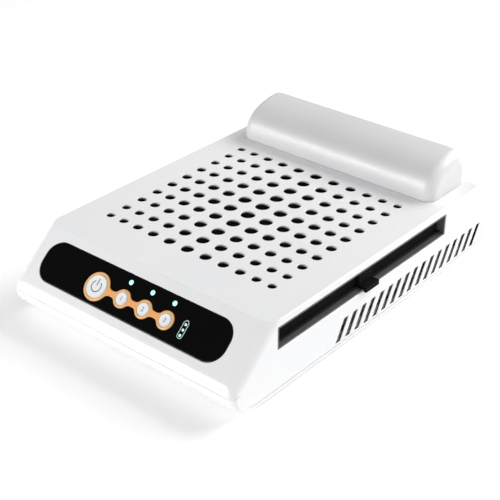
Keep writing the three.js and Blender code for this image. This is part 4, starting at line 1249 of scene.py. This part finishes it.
def make_hand_rest():
    """The padded rest: one skin over foam, its ends turned in all round and its seam at the foot."""
    profile = rest_profile()
    bottom = REST_LO.z
    middle = (REST_LO.y + REST_HI.y) / 2
    half_depth = (REST_HI.y - REST_LO.y) / 2
    height = REST_HI.z - bottom
    depths = [REST_CORNER * (1 - math.cos(QUARTER * i / 16)) for i in range(17)]
    half = REST_HI.x
    stations = [(-half + d, d) for d in depths] + [(half - d, d) for d in reversed(depths)]
    loops = []
    for x, depth in stations:
        narrow = 1 - drop(REST_CORNER, depth) / half_depth
        low = 1 - drop(REST_SHOULDER, depth) / height
        loops.append([(x, middle + (y - middle) * narrow, bottom + (z - bottom) * low) for y, z in profile])
    pad = finished("rest_cushion", loft(loops), PAD_LEATHER, 60)
    fit(even_normals(pad), "case", "pad_grey", "hand_rest_pad")


# ---------------- drawer and filter


def make_drawer():
    """The drawer: a frame with a ledge for the filter, a lip along its face and a hooked tab."""
    x0, x1 = DRAWER_LO.x, DRAWER_FACE_X
    y0, y1 = DRAWER_LO.y, DRAWER_HI.y
    z0, z1 = DRAWER_BOTTOM_Z, DRAWER_HI.z
    wall, ledge, floor = 3, 8, 1.7
    drawer = finished("drawer_tray", block(x0, x1, y0, y1, z0, z1, 0.5, 3), MATTE_BLACK)
    carve(drawer, block(x0 + wall, x1 - wall, y0 + wall, y1 - wall, z0 + floor, z1 + 5, 0.8, 2))
    carve(drawer, block(x0 + ledge, x1 - ledge, y0 + ledge, y1 - ledge, z0 - 5, z1 + 5, 2, 3))
    tip = DRAWER_HI.x
    carve(drawer, block(x1 - 1, x1 + 2.4, y0, y1, z0, z0 + 1.2, 0.25), "UNION", BLACK_ABS)
    carve(drawer, block(x1 - 1, x1 + 3, *TAB_Y, z0, z1 - 2, 0.4), "UNION")
    carve(drawer, block(x1 - 1, tip, *TAB_Y, z0, z0 + 2.4, 0.45), "UNION")
    carve(drawer, block(tip - 2.4, tip, *TAB_Y, DRAWER_LO.z, z0 + 2.4, 0.45), "UNION")
    fit(even_normals(drawer), "filter_drawer", "plastic_black", "drawer_frame")


def make_pleats():
    """One sheet of paper folded into soft pleats that waver a little along their length."""
    lo, hi = PLEAT_LO, PLEAT_HI
    steps = PLEATS * 12
    crest = math.asin(PLEAT_SHARPNESS)
    fold = []
    for i in range(steps + 1):
        wave = math.asin(PLEAT_SHARPNESS * math.sin(TURN * i / 12 - QUARTER)) / crest
        fold.append((i / steps, lo.z + (hi.z - lo.z - PAPER) * (wave + 1) / 2))
    loops = []
    for k in range(13):
        y = lo.y + (hi.y - lo.y) * k / 12
        sway = PLEAT_SWAY * math.sin(2.1 * k)
        under = [(lo.x + (hi.x - lo.x) * t + sway * math.sin(HALF_TURN * t), y, z) for t, z in fold]
        loops.append(under + [(x, y, z + PAPER) for x, y, z in reversed(under)])
    pleats = finished("pleated_paper", loft(loops), FILTER_PAPER, 60)
    fit(pleats, "filter_drawer", "filter_paper", "filter_pleats")


def make_prefilter():
    """A dense woven sheet, pressed flat round its border."""
    lo, hi = MESH_LO, MESH_HI
    bm = bmesh.new()
    rows = []
    for j in range(MESH_STEPS + 1):
        row = []
        for i in range(MESH_STEPS + 1):
            x = lo.x + (hi.x - lo.x) * i / MESH_STEPS
            y = lo.y + (hi.y - lo.y) * j / MESH_STEPS
            pressed = min(x - lo.x, hi.x - x, y - lo.y, hi.y - y) < MESH_BORDER
            under = 0.04 if (i + j) % 2 else 0.21
            row.append(bm.verts.new((x, y, hi.z - (0.32 if pressed else under))))
        rows.append(row)
    for low, high in zip(rows, rows[1:]):
        for i in range(MESH_STEPS):
            bm.faces.new((low[i], low[i + 1], high[i + 1], high[i]))
    skin = bmesh.ops.extrude_face_region(bm, geom=bm.faces[:])
    for v in (part for part in skin["geom"] if isinstance(part, bmesh.types.BMVert)):
        v.co.z = lo.z
    sheet = finished("woven_prefilter", bm, FILTER_MESH, 50)
    fit(sheet, "filter_drawer", "filter_mesh", "prefilter_mesh")


# ---------------- turned inner pieces


AT_FAN = shift(*FAN)


def make_turned(name, node, profile, matrix, material, slot, body="case", segments=64, ring=False):
    """A turned piece that stands for a CAD node. A ring's profile closes on itself."""
    bm = turned_ring(profile, segments) if ring else turned(profile, segments)
    obj = finished(name, moved(bm, matrix), material)
    fit(even_normals(obj), body, slot, *([node] if node else []))


def make_socket():
    """The charging socket on the back wall: a bezel, a deep bore and a steel centre pin."""
    place = BACK @ shift(-SOCKET_X, SOCKET_HEIGHT)
    flange, barrel, bore, depth = 5.5, SOCKET_BARREL, 2.9, 9
    profile = [(0, -depth - 2), (barrel, -depth - 2), (barrel, 0.3), (flange, 0.3), (flange, 0.8)]
    profile += [(flange - 0.1, 1.03), (flange - 0.35, 1.2), (bore + 0.6, 1.2), (bore + 0.15, 1.0)]
    profile += [(bore, 0.6), (bore, -depth), (0, -depth)]
    make_turned("socket_shell", "charge_socket", profile, place, BLACK_ABS, "plastic_black")
    pin = [(0, -depth), (1, -depth), (1, -1.4), (0.85, -1), (0.5, -0.7), (0, -0.6)]
    make_turned("socket_pin", None, pin, place, STEEL, "steel", segments=32)


def make_cells():
    """Three wrapped cells with rounded shoulders and a bare positive cap."""
    for i in range(1, 4):
        lo, hi = cad_box(f"battery_cell_{i}")
        r = (hi.z - lo.z) / 2
        half = (hi.x - lo.x) / 2
        place = shift(*((lo + hi) / 2)) @ Matrix.Rotation(QUARTER, 4, "Y")
        profile = [(0, -half + 0.3), (r - 1.6, -half + 0.3), (r - 1.2, -half), (r - 0.4, -half + 0.12)]
        profile += [(r, -half + 0.6), (r, half - 2.6), (r - 0.35, half - 2.3), (r - 0.35, half - 1.9)]
        profile += [(r - 0.5, half - 1.6), (r - 1.6, half - 1.5), (4.4, half - 1.5), (0, half - 1.5)]
        make_turned(f"wrapped_cell_{i}", f"battery_cell_{i}", profile, place, CELL_WRAP, "cell_wrap")
        cap = [(0, half - 1.5), (3.2, half - 1.5), (3, half - 0.2), (2.7, half), (0, half)]
        make_turned(f"cell_cap_{i}", None, cap, place, STEEL, "steel", segments=40)


def make_rotor_cup():
    """The steel cup that turns with the impeller."""
    r, z0, z1 = cad_round("rotor_cup")
    cup = [(1.8, z1 - 1.5), (r - 2.5, z1 - 1.5), (r - 1.8, z1 - 1.8), (r - 1.5, z1 - 2.5), (r - 1.5, z0)]
    cup += [(r, z0), (r, z1 - 2), (r - 0.3, z1 - 1), (r - 1, z1 - 0.3), (r - 2, z1), (7, z1)]
    cup += [(6.4, z1 - 0.4), (3.6, z1 - 0.4), (3, z1), (1.8, z1)]
    make_turned("steel_rotor_cup", "rotor_cup", cup, AT_FAN, STEEL, "steel", "fan_rotor", ring=True)


def make_magnets():
    """The ring magnet inside the cup."""
    r, z0, z1 = cad_round("magnet_ring")
    band = [(r - 2, z0 + 0.2), (r - 1.8, z0), (r - 0.2, z0), (r, z0 + 0.2), (r, z1 - 0.2), (r - 0.2, z1)]
    band += [(r - 1.8, z1), (r - 2, z1 - 0.2)]
    make_turned("ferrite_ring", "magnet_ring", band, AT_FAN, FERRITE, "magnet", "fan_rotor", ring=True)


def make_shaft():
    """The fan's shaft, just clear of the motor base below it."""
    r, z0, z1 = cad_round("motor_shaft")
    z0 += SHAFT_LIFT
    rod = [(0, z0), (r - 0.3, z0), (r, z0 + 0.3), (r, z1 - 0.3), (r - 0.3, z1), (0, z1)]
    make_turned("turned_shaft", "motor_shaft", rod, AT_FAN, STEEL, "steel", "fan_rotor", 40)


def make_bearings(bore=1.8):
    """Ball bearings seen as their two races and the shield between them."""
    for node in ("bearing_lower", "bearing_upper"):
        r, z0, z1 = cad_round(node)
        ring = [(bore, z0), (bore + 0.6, z0), (bore + 0.7, z0 + 0.25), (r - 0.7, z0 + 0.25), (r - 0.6, z0)]
        ring += [(r - 0.1, z0), (r, z0 + 0.1), (r, z1 - 0.1), (r - 0.1, z1), (r - 0.6, z1)]
        ring += [(r - 0.7, z1 - 0.25), (bore + 0.7, z1 - 0.25), (bore + 0.6, z1), (bore, z1)]
        make_turned(f"shielded_{node}", node, ring, AT_FAN, STEEL, "steel", ring=True, segments=48)


def hoop(inner, outer, z0, z1, edge=0.3):
    """A flat ring about the fan's axis with chamfered edges."""
    profile = [(inner, z0 + edge), (inner + edge, z0), (outer - edge, z0), (outer, z0 + edge)]
    profile += [(outer, z1 - edge), (outer - edge, z1), (inner + edge, z1), (inner, z1 - edge)]
    return moved(turned_ring(profile, 72), AT_FAN)


def fan_turns(count):
    """That many placements turned evenly round the fan's axis."""
    return [AT_FAN @ Matrix.Rotation(TURN * i / count, 4, "Z") for i in range(count)]


def make_grille():
    """The finger guard over the fan: a rim, two rings, six spokes and a hub disc."""
    outer, z0, z1 = cad_round("inlet_grille")
    inlet = outer + GAP - GRILLE_RIM
    hub = plate(circle(*FAN, GRILLE_HUB, 48), z0, z1, 0.3)
    grille = finished("finger_guard", hub, BLACK_ABS)
    carve(grille, hoop(inlet, outer, z0, z1), "UNION")
    for i in (1, 2):
        middle = GRILLE_HUB + i * (inlet - GRILLE_HUB) / 3
        carve(grille, hoop(middle - 1, middle + 1, z0, z1), "UNION")
    spokes = []
    for turn in fan_turns(6):
        spokes.append(moved(block(GRILLE_HUB - 1, inlet + 1, -1, 1, z0 + 0.1, z1 - 0.1, 0.25), turn))
    carve(grille, together(spokes), "UNION")
    fit(even_normals(grille), "case", "plastic_black", "inlet_grille")


def make_stator():
    """The motor's laminated core, and the copper coils wound round its six teeth."""
    lo, hi = cad_box("motor_stator")
    z0, z1 = lo.z + 1, hi.z - 1
    core = finished("laminated_core", hoop(STATOR_BORE, 9, z0, z1, 0.15), STEEL)
    carve(core, hoop(STATOR_FACE - 1.4, STATOR_FACE, z0, z1, 0.15), "UNION")
    teeth, gaps, coils = [], [], []
    for turn in fan_turns(6):
        between = turn @ Matrix.Rotation(TURN / 12, 4, "Z")
        teeth.append(moved(block(8.5, STATOR_FACE - 1, -2, 2, z0 + 0.1, z1 - 0.1), turn))
        gaps.append(moved(block(STATOR_FACE - 3, STATOR_FACE + 2, -3.6, 3.6, z0 - 2, z1 + 2), between))
        coils.append(moved(block(9.9, STATOR_FACE - 1.6, -3.1, 3.1, lo.z, hi.z, 0.9, 3), turn))
    carve(core, together(gaps))
    carve(core, together(teeth), "UNION")
    fit(even_normals(core), "case", "steel", "motor_stator")
    fit(finished("stator_coils", together(coils), COPPER), "case", "copper")


def blade_outline(rim, steps=14):
    """An impeller blade from above: it leaves the eye and sweeps back towards the rim."""
    sides = ([], [])
    for i in range(steps + 1):
        t = i / steps
        r = BLADE_ROOT + t * (rim - 1 - BLADE_ROOT)
        half = (0.75 - 0.25 * t) / r
        for side, way in zip(sides, (-1, 1)):
            a = BLADE_SWEEP * t * t + way * half
            side.append((r * math.cos(a), r * math.sin(a)))
    return sides[0] + sides[1][::-1]


def make_impeller():
    """A moulded centrifugal impeller: back plate, hub sleeve, nine swept blades and a shroud ring."""
    rim, z0, z1 = cad_round("impeller")
    hub = IMPELLER_HUB
    floor = [(hub, z0), (rim - 0.4, z0), (rim, z0 + 0.4), (rim, z0 + 1), (rim - 0.4, z0 + 1.4)]
    floor += [(hub + 3, z0 + 1.4), (hub + 2.2, z0 + 2.2)]
    floor += [(hub + 2, z1 - 6.4), (hub + 1.6, z1 - 6), (hub, z1 - 6)]
    eye = rim - SHROUD_WIDTH
    shroud = [(eye, z1 - 0.9), (eye + 0.5, z1 - 1.4), (rim - 0.3, z1 - 1.4), (rim, z1 - 1.1)]
    shroud += [(rim, z1 - 0.3), (rim - 0.3, z1), (eye + 0.5, z1), (eye, z1 - 0.4)]
    blades = [moved(plate(blade_outline(rim), z0 + 0.9, z1 - 0.9), turn) for turn in fan_turns(BLADES)]
    wheel = finished("moulded_impeller", moved(turned_ring(floor, 96), AT_FAN), BLACK_ABS)
    carve(wheel, together(blades), "UNION")
    carve(wheel, moved(turned_ring(shroud, 96), AT_FAN), "UNION")
    fit(even_normals(wheel), "fan_rotor", "plastic_black", "impeller")


# ---------------- CAD pieces that stay


def dress(node, material, edge=0.0):
    """A CAD node that stays: its material, and a small rounding of its sharp edges."""
    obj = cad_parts[node]
    obj.data.materials.clear()
    obj.data.materials.append(material)
    smooth(obj.data)
    if edge:
        flat = obj.modifiers.new("flat", "DECIMATE")
        flat.decimate_type = "DISSOLVE"
        flat.angle_limit = math.radians(2)
        bevel = obj.modifiers.new("edge", "BEVEL")
        bevel.width = edge * MM
        bevel.segments = 2
        bevel.limit_method = "ANGLE"
        bevel.angle_limit = math.radians(40)
        bevel.use_clamp_overlap = True
    even_normals(obj)


def dress_lead(node):
    """A lead that stays, its sleeve made round."""
    dress(node, LEAD_BLACK)
    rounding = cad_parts[node].modifiers.new("round", "SUBSURF")
    rounding.levels = 2
    rounding.render_levels = 2


def dress_cad_nodes():
    dress("filter_bay", BAY_GREY, 0.2)
    dress("motor_base", STEEL, 0.1)
    for node in ("filter_clamp", "hand_rest_base", "battery_tray"):
        dress(node, BLACK_ABS, 0.2)
    for i in range(1, 5):
        dress(f"tact_switch_{i}", BLACK_ABS, 0.1)
    for node in ("control_board", "charge_board"):
        dress(node, CIRCUIT_BOARD, 0.1)
    for node in ("motor_lead", "battery_lead", "charge_lead"):
        dress_lead(node)


# ---------------- stage, light and camera


WORLD_LIGHT = 0.49
DARK_LIGHT = 0.04
DARK_QUARTER = Vector((-0.5, -0.34, 0.79)).normalized()
DARK_EDGES = (0.52, 0.88)
EXPOSURE = 0.33
CAMERA_PLACE = (0.4722, -0.5739, 0.4530)
CAMERA_TURNS = (("Z", 40.07), ("X", 90 - 30.12), ("Z", 0.15))
CAMERA_LENS = 85.5


def area_light(name, place, target, size, power):
    light = bpy.data.lights.new(name, "AREA")
    light.shape = "RECTANGLE"
    light.size, light.size_y = size
    light.energy = power
    obj = bpy.data.objects.new(name, light)
    obj.location = place
    obj.rotation_euler = (Vector(target) - Vector(place)).to_track_quat("-Z", "Y").to_euler()
    bpy.context.scene.collection.objects.link(obj)


def make_stage():
    bm = bmesh.new()
    bmesh.ops.create_grid(bm, x_segments=1, y_segments=1, size=6 / MM)
    paper = Surface("floor_paper", (0.98, 0.98, 0.98), 0.8, Specular_IOR_Level=0.1,
                    Emission_Color=(1, 1, 1, 1), Emission_Strength=0.12)
    paper.tint(paper.noise(3, 2), (0.975, 0.975, 0.975))
    floor = finished("studio_floor", moved(bm, shift(0, 0, -0.02)), paper.material)


def make_light():
    """A white studio with one dark quarter, high at the front left, that the gloss mirrors."""
    scene = bpy.context.scene
    scene.world = bpy.data.worlds.new("studio")
    scene.world.use_nodes = True
    tree = scene.world.node_tree
    place = shader_node(tree, "TexCoord", "Generated")
    facing = shader_node(tree, "VectorMath", "Value", place, DARK_QUARTER, operation="DOT_PRODUCT")
    start, end = DARK_EDGES
    fade = shader_node(tree, "MapRange", "Result", facing, start, end, WORLD_LIGHT, DARK_LIGHT,
                       interpolation_type="SMOOTHSTEP")
    background = tree.nodes["Background"].inputs
    feed(background["Strength"], fade)
    feed(background["Color"], (1, 1, 1, 1))
    area_light("back_softbox", (0.55, 1.2, 1.05), (0, 0, 0.03), (1.2, 0.7), 17)
    area_light("front_softbox", (-0.7, -1.45, 0.5), (0, 0, 0.05), (1, 0.4), 13.5)
    area_light("side_softbox", (1.65, 0.35, 0.45), (0, 0, 0.05), (1.1, 0.5), 1.5)
    scene.view_settings.view_transform = "Standard"
    scene.view_settings.exposure = EXPOSURE


def make_camera():
    camera = bpy.data.cameras.new("camera")
    camera.lens = CAMERA_LENS
    camera.sensor_width = 36
    camera.clip_start = 0.01
    obj = bpy.data.objects.new("camera", camera)
    matrix = Matrix.Translation(CAMERA_PLACE)
    for axis, degrees in CAMERA_TURNS:
        matrix @= Matrix.Rotation(math.radians(degrees), 4, axis)
    obj.matrix_world = matrix
    bpy.context.scene.collection.objects.link(obj)
    bpy.context.scene.camera = obj


# ---------------- assembly

make_camera()
make_top_shell()
make_bottom_shell()
make_feet()
make_screws()
make_window()
make_trim()
make_beads()
make_lenses()
make_gauge_mark()
make_keys()
make_hand_rest()
make_drawer()
make_pleats()
make_prefilter()
make_socket()
make_cells()
make_rotor_cup()
make_magnets()
make_shaft()
make_bearings()
make_impeller()
make_grille()
make_stator()
dress_cad_nodes()
make_stage()
make_light()
